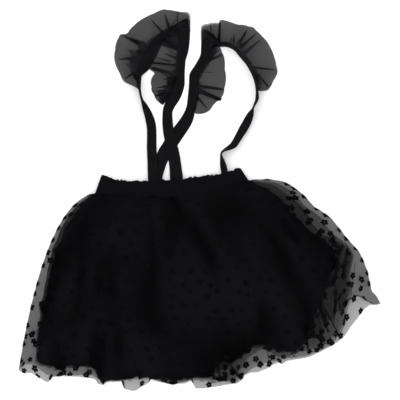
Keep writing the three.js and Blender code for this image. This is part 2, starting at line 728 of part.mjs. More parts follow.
addPiece('ruffle_left_front', ruffle(STRAP_LEFT_FRONT, LEFT, RUFFLE_LEFT_FRONT), FINISH.ruffle);
addPiece('ruffle_left_back', ruffle(STRAP_LEFT_BACK, LEFT, RUFFLE_LEFT_BACK), FINISH.ruffle);
addPiece('ruffle_right_front', ruffle(STRAP_RIGHT_FRONT, RIGHT, RUFFLE_RIGHT_FRONT), FINISH.ruffle);
addPiece('ruffle_right_back', ruffle(STRAP_RIGHT_BACK, RIGHT, RUFFLE_RIGHT_BACK), FINISH.ruffle);

export default group;
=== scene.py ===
"""Looks of a child's suspender skirt of black tulle, laid flat with its front up.

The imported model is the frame. Every piece here stands on the form of the solid that it replaces:
panels of net and lining as thin cloth, a ruched casing, shoulder tapes and their gathered ruffles.
Sizes in the classes are in millimetres, but for the flat cuts, which are in metres as the scene is.
+X is the viewer's right seen from above, +Y runs from the hem to the shoulders, and +Z is up from the
surface that the garment lies on.
"""

import logging
import math
from dataclasses import dataclass, field
from enum import Enum
from typing import NamedTuple, Optional

import bpy
import numpy as np
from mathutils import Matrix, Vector
from mathutils.bvhtree import BVHTree


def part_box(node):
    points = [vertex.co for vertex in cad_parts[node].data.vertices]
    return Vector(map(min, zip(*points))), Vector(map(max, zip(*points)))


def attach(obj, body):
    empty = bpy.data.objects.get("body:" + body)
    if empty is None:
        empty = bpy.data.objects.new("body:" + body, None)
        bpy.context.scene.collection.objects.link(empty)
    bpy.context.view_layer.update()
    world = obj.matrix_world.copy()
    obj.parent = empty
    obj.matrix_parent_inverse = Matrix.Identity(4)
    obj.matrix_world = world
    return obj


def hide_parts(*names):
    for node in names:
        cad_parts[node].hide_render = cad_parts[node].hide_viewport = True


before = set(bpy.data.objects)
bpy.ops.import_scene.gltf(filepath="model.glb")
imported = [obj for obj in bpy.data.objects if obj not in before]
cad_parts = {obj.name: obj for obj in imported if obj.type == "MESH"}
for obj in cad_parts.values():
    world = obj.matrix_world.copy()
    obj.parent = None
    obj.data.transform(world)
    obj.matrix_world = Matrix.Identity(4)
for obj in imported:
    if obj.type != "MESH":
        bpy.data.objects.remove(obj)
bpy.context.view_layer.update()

LOG = logging.getLogger("skirt")
MM = 0.001
BODY = "root"
FLOOR_CLEARANCE = 0.12  # least height of any cloth above the surface


class Slot(Enum):
    """The garment's material slots."""

    SPOTTED = "spotted_tulle"
    PLAIN = "plain_tulle"
    LINING = "lining"
    BAND = "waistband"
    TAPE = "strap_tape"
    RUFFLE = "ruffle_tulle"


class Side(Enum):
    """Which side of a tape, going up it, its ruffle is sewn to."""

    LEFT = 1
    RIGHT = -1


class Point(NamedTuple):
    """A place on the surface."""

    x: float
    y: float


# ---------------------------------------------------------------------------------------------
# Numbers and curves
# ---------------------------------------------------------------------------------------------


def ease(value: np.ndarray) -> np.ndarray:
    """A smooth step from 0 to 1.

    Args:
        value: where on the step, 0 at its start and 1 at its end.

    Returns:
        The step's height there.
    """
    t = np.clip(value, 0.0, 1.0)
    return t * t * (3.0 - 2.0 * t)


def along(table: list[tuple], place: np.ndarray) -> np.ndarray:
    """Smooth values of a table's columns, without swinging past its rows.

    Args:
        table: rows of numbers.
        place: places along the rows, from 0 to 1.

    Returns:
        One row of values for each place.
    """
    rows = np.array(table, dtype=float)
    at = np.clip(np.asarray(place, dtype=float), 0.0, 1.0) * (len(rows) - 1)
    index = np.minimum(at.astype(int), len(rows) - 2)
    share = (at - index)[:, None]
    start, end = rows[index], rows[index + 1]
    before, after = rows[np.maximum(index - 1, 0)], rows[np.minimum(index + 2, len(rows) - 1)]
    step = end - start
    safe = np.where(step == 0.0, 1.0, step)
    leave = np.where(step == 0.0, 0.0, step * np.clip((end - before) / 2.0 / safe, 0.0, 3.0))
    arrive = np.where(step == 0.0, 0.0, step * np.clip((after - start) / 2.0 / safe, 0.0, 3.0))
    square = 3.0 * step - 2.0 * leave - arrive
    cubic = leave + arrive - 2.0 * step
    return start + share * (leave + share * (square + share * cubic))


def softened(values: np.ndarray, spread: float, axis: int = 0) -> np.ndarray:
    """Values blurred along one axis, with the ends held in place.

    Args:
        values: the numbers to blur.
        spread: width of the blur, in steps.
        axis: the axis to blur along.

    Returns:
        The blurred values.
    """
    if spread <= 0.05:
        return values
    reach = max(1, int(math.ceil(3.0 * spread)))
    weights = np.exp(-0.5 * (np.arange(-reach, reach + 1) / spread) ** 2)
    weights /= weights.sum()
    moved = np.moveaxis(np.asarray(values, dtype=float), axis, 0)
    first, last = moved[:1], moved[-1:]
    before = 2.0 * first - moved[1:reach + 1][::-1]
    after = 2.0 * last - moved[-reach - 1:-1][::-1]
    padded = np.concatenate([before, moved, after])
    blurred = sum(w * padded[i:i + len(moved)] for i, w in enumerate(weights))
    return np.moveaxis(blurred, 0, axis)


def run_along(points: np.ndarray) -> np.ndarray:
    """Length in mm from a line's start to each of its points."""
    return np.concatenate([[0.0], np.cumsum(np.linalg.norm(np.diff(points, axis=0), axis=1))])


def paced(points: np.ndarray, count: int, soften: float = 0.0) -> np.ndarray:
    """A line stepped evenly along its length.

    Args:
        points: the line's corners.
        count: number of points wanted.
        soften: how much its corners are rounded.

    Returns:
        The evenly spaced points.
    """
    points = np.asarray(points, dtype=float)
    run = run_along(points)
    at = np.linspace(0.0, run[-1], count)
    line = np.stack([np.interp(at, run, points[:, i]) for i in range(points.shape[1])], axis=1)
    return softened(line, soften * (count - 1) / run[-1])


def bend(*handles: tuple[float, float], steps: int = 200) -> np.ndarray:
    """A Bezier curve from its first handle to its last.

    Args:
        handles: its handles, in order.
        steps: number of points wanted.

    Returns:
        Points along it.
    """
    t = np.linspace(0.0, 1.0, steps)[:, None]
    order = len(handles) - 1
    return sum(
        math.comb(order, i) * t ** i * (1.0 - t) ** (order - i) * np.array([handle], dtype=float)
        for i, handle in enumerate(handles)
    )


class Unevenness:
    """Smooth chance variation over the plane, the same in each run.

    SIZE is the lattice's size in cells, and SHIFT keeps the garment's middle off the lattice's corner.
    """

    SIZE = 256
    SHIFT = (91.3, 57.9)

    def __init__(self, seed: int, cell: float) -> None:
        """Draws the lattice.

        Args:
            seed: picks the draw.
            cell: distance in mm over which the value changes.
        """
        self.lattice = np.random.default_rng(seed).uniform(-1.0, 1.0, (self.SIZE, self.SIZE))
        self.cell = cell

    def __call__(self, x: np.ndarray, y: np.ndarray = 0.0) -> np.ndarray:
        """Varies over the given places.

        Args:
            x: how far right they are.
            y: how far up they are.

        Returns:
            Values from -1 to 1.
        """
        gx = np.asarray(x, dtype=float) / self.cell + self.SHIFT[0]
        gy = np.broadcast_to(np.asarray(y, dtype=float) / self.cell + self.SHIFT[1], gx.shape)
        ix, iy = np.floor(gx).astype(int), np.floor(gy).astype(int)
        tx, ty = ease(gx - ix), ease(gy - iy)
        wrap = self.SIZE
        low = self.lattice[ix % wrap, iy % wrap] * (1 - tx) + self.lattice[(ix + 1) % wrap, iy % wrap] * tx
        up = (iy + 1) % wrap
        high = self.lattice[ix % wrap, up] * (1 - tx) + self.lattice[(ix + 1) % wrap, up] * tx
        return low * (1 - ty) + high * ty


class Ridges:
    """Rounded ridges with sharp valleys between them, as gathers make, along one direction."""

    def __init__(self, seed: int, span: float, pitch: float, spread: float = 0.45) -> None:
        """Draws the valleys.

        Args:
            seed: picks the draw.
            span: length that they cover.
            pitch: usual distance between two valleys.
            spread: how much that distance varies, as a share.
        """
        rng = np.random.default_rng(seed)
        count = int(span / pitch) + 4
        gaps = pitch * (1.0 + spread * rng.uniform(-1.0, 1.0, count))
        self.valleys = np.concatenate([[-pitch], -pitch + np.cumsum(gaps)])
        self.heights = rng.uniform(0.45, 1.0, count + 1)

    def __call__(self, at: np.ndarray) -> np.ndarray:
        """Rises over the given places.

        Args:
            at: how far along the ridges' span they are.

        Returns:
            Heights from 0 to 1.
        """
        index = np.clip(np.searchsorted(self.valleys, at) - 1, 0, len(self.valleys) - 2)
        start, end = self.valleys[index], self.valleys[index + 1]
        share = np.clip((at - start) / (end - start), 0.0, 1.0)
        return self.heights[index] * np.sin(np.pi * share) ** 0.8


@dataclass(frozen=True)
class Trough:
    """A soft valley or, where its depth is negative, a soft ridge between two places."""

    start: Point
    end: Point
    wide: float
    deep: float

    def __call__(self, x: np.ndarray, y: np.ndarray) -> np.ndarray:
        """Lowers the cloth at the given places.

        Args:
            x: how far right they are.
            y: how far up they are.

        Returns:
            How far it lowers each.
        """
        run = np.array([self.end.x - self.start.x, self.end.y - self.start.y])
        length = float(np.linalg.norm(run))
        run = run / length
        rx, ry = x - self.start.x, y - self.start.y
        share = (rx * run[0] + ry * run[1]) / length
        off = (ry * run[0] - rx * run[1]) / self.wide
        fade = ease((share + 0.15) / 0.3) * ease((1.15 - share) / 0.3)
        return self.deep * fade * np.exp(-off * off)


@dataclass(frozen=True)
class Pleat:
    """A narrow fold in which the cloth doubles back under itself, between two places.

    laps is the width of the doubled cloth at the start, keeps the share of it left at the end, and
    fades how it shrinks between them. wide is half the width of cloth that the fold draws in. lift is
    its height, which falls away over tail times wide beyond it.
    """

    start: Point
    end: Point
    laps: float
    keeps: float = 0.3
    wide: float = 2.2
    lift: float = 0.7
    tail: float = 3.0
    fades: float = 1.0

    def move(self, points: np.ndarray, base: np.ndarray) -> None:
        """Adds the fold to a surface.

        Args:
            points: the surface's points, changed in place.
            base: the same points before any fold, which say where each lies.
        """
        run = np.array([self.end.x - self.start.x, self.end.y - self.start.y])
        length = float(np.linalg.norm(run))
        run = run / length
        side = np.array([-run[1], run[0]])
        rx, ry = base[..., 0] - self.start.x, base[..., 1] - self.start.y
        share = (rx * run[0] + ry * run[1]) / length
        off = rx * side[0] + ry * side[1]
        here = np.abs(off) < self.wide * (1.0 + self.tail) + 1.0
        here &= (share > -0.3) & (share < 1.3)
        if not here.any():
            return
        share, off = share[here], off[here]
        start_fade, end_fade = 2.5 / length, 0.12
        fade = ease((share + start_fade) / (2.0 * start_fade))
        fade = fade * ease((1.0 + end_fade - share) / (2.0 * end_fade))
        laps = self.laps * (1.0 + (self.keeps - 1.0) * np.clip(share, 0.0, 1.0) ** self.fades) * fade
        sigma = off / self.wide
        pulse = np.where(np.abs(sigma) < 1.0, np.sin(np.pi * sigma) * np.cos(np.pi * sigma / 2.0) ** 2, 0.0)
        full = (self.laps + 0.84 * self.wide) / 1.54
        moved = -pulse * full * laps / max(self.laps, 1e-6)
        raised = ease(sigma + 0.5) * (1.0 - ease((sigma - 0.8) / self.tail))
        points[here, 0] += side[0] * moved
        points[here, 1] += side[1] * moved
        points[here, 2] += self.lift * raised * np.clip(laps / max(self.laps, 1e-6), 0.0, 1.0)


def troughs(rows: list[tuple[float, ...]]) -> list[Trough]:
    """Troughs from rows of start x and y, end x and y, width and depth."""
    return [Trough(Point(*row[:2]), Point(*row[2:4]), *row[4:]) for row in rows]


def pleats(rows: list[tuple[float, ...]]) -> list[Pleat]:
    """Pleats from rows of start x and y, end x and y, laps, keeps, width and lift."""
    return [Pleat(Point(*row[:2]), Point(*row[2:4]), *row[4:]) for row in rows]


# ---------------------------------------------------------------------------------------------
# Meshes
# ---------------------------------------------------------------------------------------------


def grid_faces(rows: int, columns: int, ring: bool = False, start: int = 0) -> np.ndarray:
    """Faces of a grid of points stored row by row.

    Args:
        rows: number of rows.
        columns: number of columns.
        ring: whether the last column joins the first.
        start: index of the grid's first point.

    Returns:
        Four point indices for each face.
    """
    ids = start + np.arange(rows * columns).reshape(rows, columns)
    if ring:
        ids = np.concatenate([ids, ids[:, :1]], axis=1)
    quads = np.stack([ids[:-1, :-1], ids[:-1, 1:], ids[1:, 1:], ids[1:, :-1]], axis=-1)
    return quads.reshape(-1, 4)


def surface_normals(points: np.ndarray) -> np.ndarray:
    """Works out which way a grid of points faces.

    Args:
        points: rows x columns points.

    Returns:
        Their unit normals.
    """
    normal = np.cross(np.gradient(points, axis=1), np.gradient(points, axis=0))
    size = np.linalg.norm(normal, axis=-1, keepdims=True)
    return normal / np.maximum(size, 1e-9)


def make_object(
    name: str,
    points: np.ndarray,
    faces: list | np.ndarray,
    material: bpy.types.Material,
    places: Optional[np.ndarray] = None,
) -> bpy.types.Object:
    """A mesh object from points in mm.

    Args:
        name: the object's name.
        points: its points.
        faces: point indices of each face.
        material: its finish.
        places: each point's place on the cloth in mm, which becomes the UV map in metres.

    Returns:
        The object, linked into the scene.
    """
    mesh = bpy.data.meshes.new(name)
    flat = (np.asarray(points, dtype=float).reshape(-1, 3) * MM).tolist()
    mesh.from_pydata(flat, [], faces.tolist() if isinstance(faces, np.ndarray) else faces)
    if places is not None:
        layer = mesh.uv_layers.new(name="cloth")
        loops = np.empty(len(mesh.loops), dtype=np.int32)
        mesh.loops.foreach_get("vertex_index", loops)
        layer.data.foreach_set("uv", (places.reshape(-1, 2)[loops] * MM).ravel())
    mesh.materials.append(material)
    mesh.shade_smooth()
    mesh.update()
    made = bpy.data.objects.new(name, mesh)
    bpy.context.scene.collection.objects.link(made)
    return made


def sheet_mesh(
    name: str, points: np.ndarray, material: bpy.types.Material, places: np.ndarray
) -> bpy.types.Object:
    """One open surface of cloth, for net that is too thin to have an edge."""
    rows, columns = points.shape[:2]
    return make_object(name, points, grid_faces(rows, columns), material, places)


def shell_mesh(
    name: str, points: np.ndarray, thick: float, material: bpy.types.Material, places: np.ndarray
) -> bpy.types.Object:
    """A thin closed shell of cloth round a grid of points.

    Args:
        name: the object's name.
        points: the middle of the cloth.
        thick: its thickness.
        material: its finish.
        places: each point's place on the cloth.

    Returns:
        The object.
    """
    rows, columns = points.shape[:2]
    out = surface_normals(points) * (thick / 2.0)
    both = np.concatenate([(points + out).reshape(-1, 3), (points - out).reshape(-1, 3)])
    count = rows * columns
    top = grid_faces(rows, columns)
    under = grid_faces(rows, columns, start=count)[:, ::-1]
    ids = np.arange(count).reshape(rows, columns)
    rim = np.concatenate([ids[0, :], ids[1:, -1], ids[-1, -2::-1], ids[-2:0:-1, 0]])
    after = np.roll(rim, -1)
    edge = np.stack([after, rim, rim + count, after + count], axis=1)
    faces = np.concatenate([top, under, edge])
    return make_object(name, both, faces, material, np.concatenate([places.reshape(-1, 2)] * 2))


def tube_mesh(
    name: str, rings: np.ndarray, material: bpy.types.Material, places: np.ndarray
) -> bpy.types.Object:
    """A closed tube through rings of points, capped at both ends.

    Args:
        name: the object's name.
        rings: rows of points, each a ring.
        material: its finish.
        places: each point's place on the cloth.

    Returns:
        The object.
    """
    rows, columns = rings.shape[:2]
    faces = grid_faces(rows, columns, ring=True).tolist()
    faces.append(list(range(columns)))
    faces.append([(rows - 1) * columns + i for i in range(columns)][::-1])
    return make_object(name, rings, faces, material, places)


def joined_mesh(
    name: str, faces: np.ndarray, copies: np.ndarray, material: bpy.types.Material
) -> bpy.types.Object:
    """Many copies of one small form as one mesh.

    Args:
        name: the object's name.
        faces: the faces of one copy.
        copies: the points of every copy.
        material: its finish.

    Returns:
        The object.
    """
    each = copies.shape[1]
    all_faces = np.concatenate([faces + each * i for i in range(len(copies))])
    return make_object(name, copies.reshape(-1, 3), all_faces, material)


# ---------------------------------------------------------------------------------------------
# Finishes
# ---------------------------------------------------------------------------------------------


class Nodes:
    """A material's nodes, added one at a time."""

    def __init__(self, name: str) -> None:
        """Starts a material with a Principled shader and its output.

        Args:
            name: the material's name.
        """
        self.material = bpy.data.materials.new(name)
        self.material.use_nodes = True
        self.tree = self.material.node_tree
        self.tree.nodes.clear()
        self.shader = self.add("ShaderNodeBsdfPrincipled")
        output = self.add("ShaderNodeOutputMaterial")
        self.tree.links.new(self.shader.outputs["BSDF"], output.inputs["Surface"])

    def add(self, kind: str, inputs: Optional[dict] = None, **settings: object) -> bpy.types.Node:
        """Adds a node.

        Args:
            kind: the node's type.
            inputs: constants for its sockets, or the sockets that feed them.
            settings: its own properties.

        Returns:
            The node.
        """
        node = self.tree.nodes.new(kind)
        for name, value in settings.items():
            setattr(node, name, value)
        for name, value in (inputs or {}).items():
            self.feed(node.inputs[name], value)
        return node

    def feed(self, socket: bpy.types.NodeSocket, value: object) -> None:
        """Sets a socket to a constant or links another to it.

        Args:
            socket: the socket to feed.
            value: the constant, or the socket that feeds it.
        """
        if isinstance(value, bpy.types.NodeSocket):
            self.tree.links.new(value, socket)
        else:
            socket.default_value = value

    def shades(
        self, value: bpy.types.NodeSocket, dark: tuple, light: tuple, start: float = 0.0, end: float = 1.0
    ) -> bpy.types.NodeSocket:
        """A colour between two shades.

        Args:
            value: what picks it.
            dark: the shade at the start.
            light: the shade at the end.
            start: the value that gives the dark shade.
            end: the value that gives the light one.

        Returns:
            The colour.
        """
        ramp = self.add("ShaderNodeValToRGB", {"Fac": value})
        ramp.color_ramp.elements[0].position = start
        ramp.color_ramp.elements[1].position = end
        ramp.color_ramp.elements[0].color = (*dark, 1.0)
        ramp.color_ramp.elements[1].color = (*light, 1.0)
        return ramp.outputs["Color"]

    def cloth_place(self, across: float, up: float) -> bpy.types.NodeSocket:
        """The place on the cloth, stretched.

        Args:
            across: the scale across the cloth.
            up: the scale up it.

        Returns:
            The stretched place.
        """
        uv = self.add("ShaderNodeUVMap", uv_map="cloth")
        scaled = self.add("ShaderNodeMapping", {"Vector": uv.outputs["UV"], "Scale": (across, up, 1.0)})
        return scaled.outputs["Vector"]

    def body_place(self) -> bpy.types.NodeSocket:
        """The place in the garment's own space."""
        return self.add("ShaderNodeTexCoord").outputs["Object"]

    def bump(self, height: bpy.types.NodeSocket, strength: float, distance: float) -> None:
        """Bumps the shader's surface."""
        bump = self.add("ShaderNodeBump", {"Height": height, "Strength": strength, "Distance": distance})
        self.feed(self.shader.inputs["Normal"], bump.outputs["Normal"])


@dataclass(frozen=True)
class Net:
    """Sheer net: constant cover, a fine grain, and painted shade: its black runs darker and lighter in
    streaks along the gathers, standing in for the shade of its folds.

    shade_streaks is how fine that painted shade is across the cloth and down it.
    """

    name: str
    dark: tuple[float, float, float]
    light: tuple[float, float, float]
    cover: float
    rough: float = 0.75
    sheen: float = 0.0
    sheen_rough: float = 0.4
    shade_streaks: tuple[float, float] = (34.0, 9.0)
    mesh_pitch: float = 900.0
    gloss: float = 0.02

    def material(self) -> bpy.types.Material:
        """Builds the material.

        Returns:
            The material.
        """
        nodes = Nodes(self.name)
        place = nodes.cloth_place(*self.shade_streaks)
        # Painted shade: a noise stretched along the gathers moves the base colour between the dark and light
        # ends, as the shade of folds would.
        cloud = nodes.add(
            "ShaderNodeTexNoise", {"Vector": place, "Scale": 1.0, "Detail": 3.0, "Distortion": 0.4}
        )
        shade = nodes.shades(cloud.outputs["Fac"], self.dark, self.light, 0.4, 0.62)
        nodes.feed(nodes.shader.inputs["Base Color"], shade)
        shader = nodes.shader.inputs
        shader["Roughness"].default_value = self.rough
        shader["Alpha"].default_value = self.cover
        shader["Sheen Weight"].default_value = self.sheen
        shader["Sheen Roughness"].default_value = self.sheen_rough
        shader["Specular IOR Level"].default_value = self.gloss
        cells = nodes.add(
            "ShaderNodeTexVoronoi",
            {"Vector": nodes.cloth_place(self.mesh_pitch, self.mesh_pitch), "Scale": 1.0},
            feature="DISTANCE_TO_EDGE",
        )
        nodes.bump(cells.outputs["Distance"], 0.25, 0.0002)
        return nodes.material


@dataclass(frozen=True)
class Weave:
    """Opaque cloth with a woven, ribbed or knitted grain.

    across and up are how fine its ribs are in each direction, and depth how deep they look in metres.
    """

    name: str
    dark: tuple[float, float, float]
    light: tuple[float, float, float]
    rough: float
    sheen: float
    across: float
    up: float
    depth: float

    def material(self) -> bpy.types.Material:
        """Builds the material.

        Returns:
            The material.
        """
        nodes = Nodes(self.name)
        cloud = nodes.add(
            "ShaderNodeTexNoise", {"Vector": nodes.body_place(), "Scale": 90.0, "Detail": 5.0}
        )
        shade = nodes.shades(cloud.outputs["Fac"], self.dark, self.light)
        nodes.feed(nodes.shader.inputs["Base Color"], shade)
        shader = nodes.shader.inputs
        shader["Roughness"].default_value = self.rough
        shader["Sheen Weight"].default_value = self.sheen
        shader["Sheen Roughness"].default_value = 0.45
        shader["Specular IOR Level"].default_value = 0.03
        ribs = []
        for scale, direction in ((self.across, "X"), (self.up, "Y")):
            place = nodes.cloth_place(scale, scale)
            inputs = {"Vector": place, "Scale": 1.0, "Distortion": 0.6, "Detail": 1.0}
            ribs.append(nodes.add("ShaderNodeTexWave", inputs, bands_direction=direction))
        both = nodes.add(
            "ShaderNodeMath", {0: ribs[0].outputs["Fac"], 1: ribs[1].outputs["Fac"]}, operation="MULTIPLY"
        )
        nodes.bump(both.outputs[0], 0.5, self.depth)
        return nodes.material


@dataclass(frozen=True)
class Flock:
    """The short black pile of the flowers and the thread of the stitches."""

    name: str
    color: tuple[float, float, float]
    sheen: float
    grain: float

    def material(self) -> bpy.types.Material:
        """Builds the material.

        Returns:
            The material.
        """
        nodes = Nodes(self.name)
        pile = nodes.add(
            "ShaderNodeTexNoise", {"Vector": nodes.body_place(), "Scale": self.grain, "Detail": 2.0}
        )
        light = tuple(1.6 * part for part in self.color)
        nodes.feed(nodes.shader.inputs["Base Color"], nodes.shades(pile.outputs["Fac"], self.color, light))
        shader = nodes.shader.inputs
        shader["Roughness"].default_value = 0.95
        shader["Sheen Weight"].default_value = self.sheen
        shader["Specular IOR Level"].default_value = 0.01
        nodes.bump(pile.outputs["Fac"], 0.6, 0.0002)
        return nodes.material


# Each net's dark and light ends span its painted shade of folds and gathers.
SPOTTED_NET = Net("spotted_net", (0.0006, 0.0006, 0.0008), (0.0078, 0.0078, 0.009), cover=0.42)
PLAIN_NET = Net("plain_net", (0.001, 0.001, 0.0013), (0.006, 0.006, 0.007), cover=0.41)
# The gathered net's lighter end paints the shade of its puffs and streaks of sheen.
ORGANZA = Net(
    "gathered_net", (0.001, 0.001, 0.0013), (0.016, 0.016, 0.018), cover=0.52, rough=0.6, sheen=0.01,
    shade_streaks=(40.0, 22.0),
)
LINING_CLOTH = Weave(
    "lining_cloth", (0.0015, 0.0015, 0.002), (0.003, 0.003, 0.0035),
    rough=0.7, sheen=0.0, across=1500.0, up=1500.0, depth=0.0001,
)
RUCHED_KNIT = Weave(
    "ruched_knit", (0.0018, 0.0018, 0.0023), (0.004, 0.004, 0.0047),
    rough=0.85, sheen=0.0, across=900.0, up=700.0, depth=0.0003,
)
RIBBED_TAPE = Weave(
    "ribbed_tape", (0.003, 0.003, 0.0034), (0.0062, 0.0062, 0.007),
    rough=0.8, sheen=0.0, across=700.0, up=2200.0, depth=0.0002,
)
FLOCK = Flock("flock", (0.0015, 0.0015, 0.0018), sheen=0.0, grain=2600.0)
THREAD = Flock("thread", (0.006, 0.006, 0.007), sheen=0.0, grain=1800.0)


def place_piece(made: bpy.types.Object, node: Optional[str] = None) -> bpy.types.Object:
    """Puts a piece on the garment's body and reports it.

    Args:
        made: the piece.
        node: the solid that it stands for, if there is one.

    Returns:
        The piece.
    """
    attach(made, BODY)
    if node is not None:
        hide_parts(node)
    LOG.info("%s: %d faces", made.name, len(made.data.polygons))
    return made


# ---------------------------------------------------------------------------------------------
# The skirt's panels
# ---------------------------------------------------------------------------------------------

# The waistband, left to right: its top edge and the seam under it.
BAND_TOP = [
    (-148, 34), (-146, 36.5), (-139, 35.5), (-122.5, 29.5), (-104, 28), (-79, 28.5), (-55, 30),
    (-25, 30), (-18, 33), (0, 35.3), (23, 37.5), (33, 39), (48, 43.5), (56, 46.5), (62, 45),
]
BAND_SEAM = [(-157, 9), (-100, 4.5), (-42, 4), (17, 12.5), (74, 28.5)]


@dataclass(frozen=True)
class Outline:
    """A panel's cut as it lies: its two sides and the hem between them, below the whole seam.

    left is the handle of its left side's curve, and right holds the right side's places from the hem
    up. ragged and frayed are how far the sides and the hem wander.
    """

    left: tuple[float, float]
    hem: list[tuple[float, float]]
    right: list[tuple[float, float]]
    ragged: float = 0.0
    frayed: float = 0.0


# The overlay is folded at its sides, so that its two panels share them.
OVERLAY_LEFT = (-231, -2)
OVERLAY_RIGHT = [
    (265, -143.5), (258, -137), (256, -128), (252, -108), (246, -92), (239, -77), (233, -71), (219, -55),
    (205, -37), (197, -27), (184, -17.5), (172.5, -11), (157, 6.5), (142, 19), (129, 26), (124, 28.5),
    (100, 31.5),
]
OVERLAY_BACK = Outline(
    left=OVERLAY_LEFT,
    hem=[
        (-271.6, -255), (-265, -260), (-252, -260), (-238, -268), (-228, -274.5), (-220, -265.5),
        (-204, -264), (-180, -265), (-157, -268.5), (-153, -276), (-144, -277.5), (-139, -273),
        (-118, -270.6), (-113, -284), (-98, -286.5), (-77, -275), (-73, -268.5), (-57, -273),
        (-43, -277.5), (-24, -275), (-13, -270.6), (-6, -283), (10, -282), (37, -278), (56, -274.5),
        (63, -270.6), (68, -262.5), (77, -259), (87, -258.6), (100, -253.5), (110, -247.5),
        (118, -244), (124, -246.6), (131, -241.5), (152, -238), (168, -234), (184, -225.6),
        (201, -217), (216, -205.5), (230, -186), (247, -164), (255, -157.5), (262.5, -157.5),
        (270.6, -154.8),
    ],
    right=OVERLAY_RIGHT,
    frayed=0.5,
)
OVERLAY_FRONT = Outline(
    left=OVERLAY_LEFT,
    hem=[
        (-271.6, -255), (-262, -246), (-250, -246), (-238, -254), (-224, -264), (-206, -262),
        (-180, -262), (-160, -262), (-148, -271), (-134, -269), (-116, -268), (-98, -262),
        (-75, -264), (-58, -271), (-43, -276), (-26, -273), (-10, -266), (14, -268), (34, -272),
        (54, -273), (66, -262), (80, -251), (98, -244), (118, -240), (140, -236), (160, -233),
        (182, -225), (200, -214), (212, -200), (218, -184), (217, -165), (222, -150), (233, -143),
        (247, -148), (257, -155.5), (264, -158), (271.6, -155),
    ],
    right=OVERLAY_RIGHT,
    frayed=0.5,
)
PETTICOAT_FRONT = Outline(
    left=(-234, -22),
    hem=[
        (-247, -243), (-236, -249.5), (-227, -253), (-208, -254), (-193, -251), (-171.5, -250),
        (-159, -252), (-154, -262), (-148, -272), (-133, -272.5), (-118, -271.5), (-104, -269.5),
        (-90, -266), (-75, -268.5), (-58, -271.5), (-38, -272.5), (-14, -271), (4, -272.5), (22, -272),
        (38, -272), (54, -266), (62, -252), (76, -234), (86, -225), (97, -221), (110, -232),
        (124, -236), (139, -232), (152, -228), (164, -226), (178, -221), (190, -214), (198, -206),
        (208, -196), (213, -187), (217, -178), (220, -169), (222, -158), (227, -146), (228, -134),
        (225, -120), (226, -106), (229, -94), (231, -82),
    ],
    right=[
        (228, -76), (222, -67), (209, -57), (198, -49), (190, -40), (182, -27), (173, -19), (155, -8),
        (146, 4), (135, 15), (114, 26),
    ],
    ragged=1.5,
    frayed=2.0,
)
PETTICOAT_BACK = Outline(
    left=(-234, -22),
    hem=[
        (-245, -240), (-232, -248), (-208, -251), (-176, -248), (-158, -252), (-148, -268),
        (-104, -266), (-75, -265), (-48, -270), (-20, -267), (18, -265), (42, -250), (58, -241),
        (72, -229), (86, -220), (100, -216), (112, -226), (124, -229), (136, -222), (148, -222),
        (160, -214), (170, -206), (178, -210), (188, -196), (186, -182), (198, -182), (205, -168),
        (212, -168), (220, -152), (225, -138), (222, -122), (224, -108), (227, -94), (229, -82),
    ],
    right=[
        (222, -74), (211, -63), (198, -57), (184, -53), (176, -43), (168, -32), (160, -18), (148, -6),
        (132, 8), (110, 23),
    ],
    ragged=1.5,
    frayed=2.0,
)
LINING = Outline(
    left=(-232.5, -50),
    hem=[
        (-243, -236), (-242, -242), (-234, -247.5), (-225, -251), (-208, -252), (-192, -249),
        (-171, -248), (-160, -250), (-153, -262), (-146, -270), (-123, -270.5), (-104, -267.5),
        (-90, -264), (-75, -266.5), (-37, -268.5), (0, -266), (19, -265), (23, -253), (30, -246),
        (40, -242), (54, -240), (62, -231), (75, -219), (94, -215), (113, -224),
        (139, -226), (152, -221), (158, -210),
    ],
    right=[
        (163, -196), (172, -180), (187, -142), (196, -120), (207, -94), (199, -72), (186, -60),
        (171, -52), (158, -41), (147, -29), (129, -8), (118, 4), (95, 19),
    ],
    ragged=3.0,
    frayed=2.2,
)

# The folds of the front: broad soft valleys between the gathers, and a few soft ridges, whose depth
# is negative.
FRONT_FOLDS = troughs([
    (-150, -30, -172, -105, 8, 2.6),
    (-172, -105, -187, -190, 9, 2.0),
    (-30, -42, -45, -95, 7, 3.0),
    (-22, -60, -12, -135, 7, 2.2),
    (-12, -135, 22, -212, 8, 2.4),
    (8, -55, 28, -106, 7, 2.6),
    (53, -18, 94, -76, 6, 3.2),
    (94, -76, 118, -150, 8, 1.6),
    (132, -57, 158, -133, 8, 3.0),
    (-100, -40, -112, -130, 7, 1.6),
    (-75, -120, -85, -215, 8, 1.8),
    (60, -120, 75, -200, 8, 1.6),
    (185, -60, 205, -120, 6, 2.0),
    (-205, -70, -225, -150, 6, 1.6),
    (-112, -52, -125, -115, 7, -1.6),
    (-52, -75, -75, -120, 8, -1.6),
    (-15, -75, 0, -93, 7, -1.4),
    (38, -45, 52, -95, 8, -1.5),
    (110, -40, 128, -100, 7, -1.6),
    (-30, -160, -28, -240, 9, -1.2),
    (95, -160, 100, -215, 8, -1.2),
])

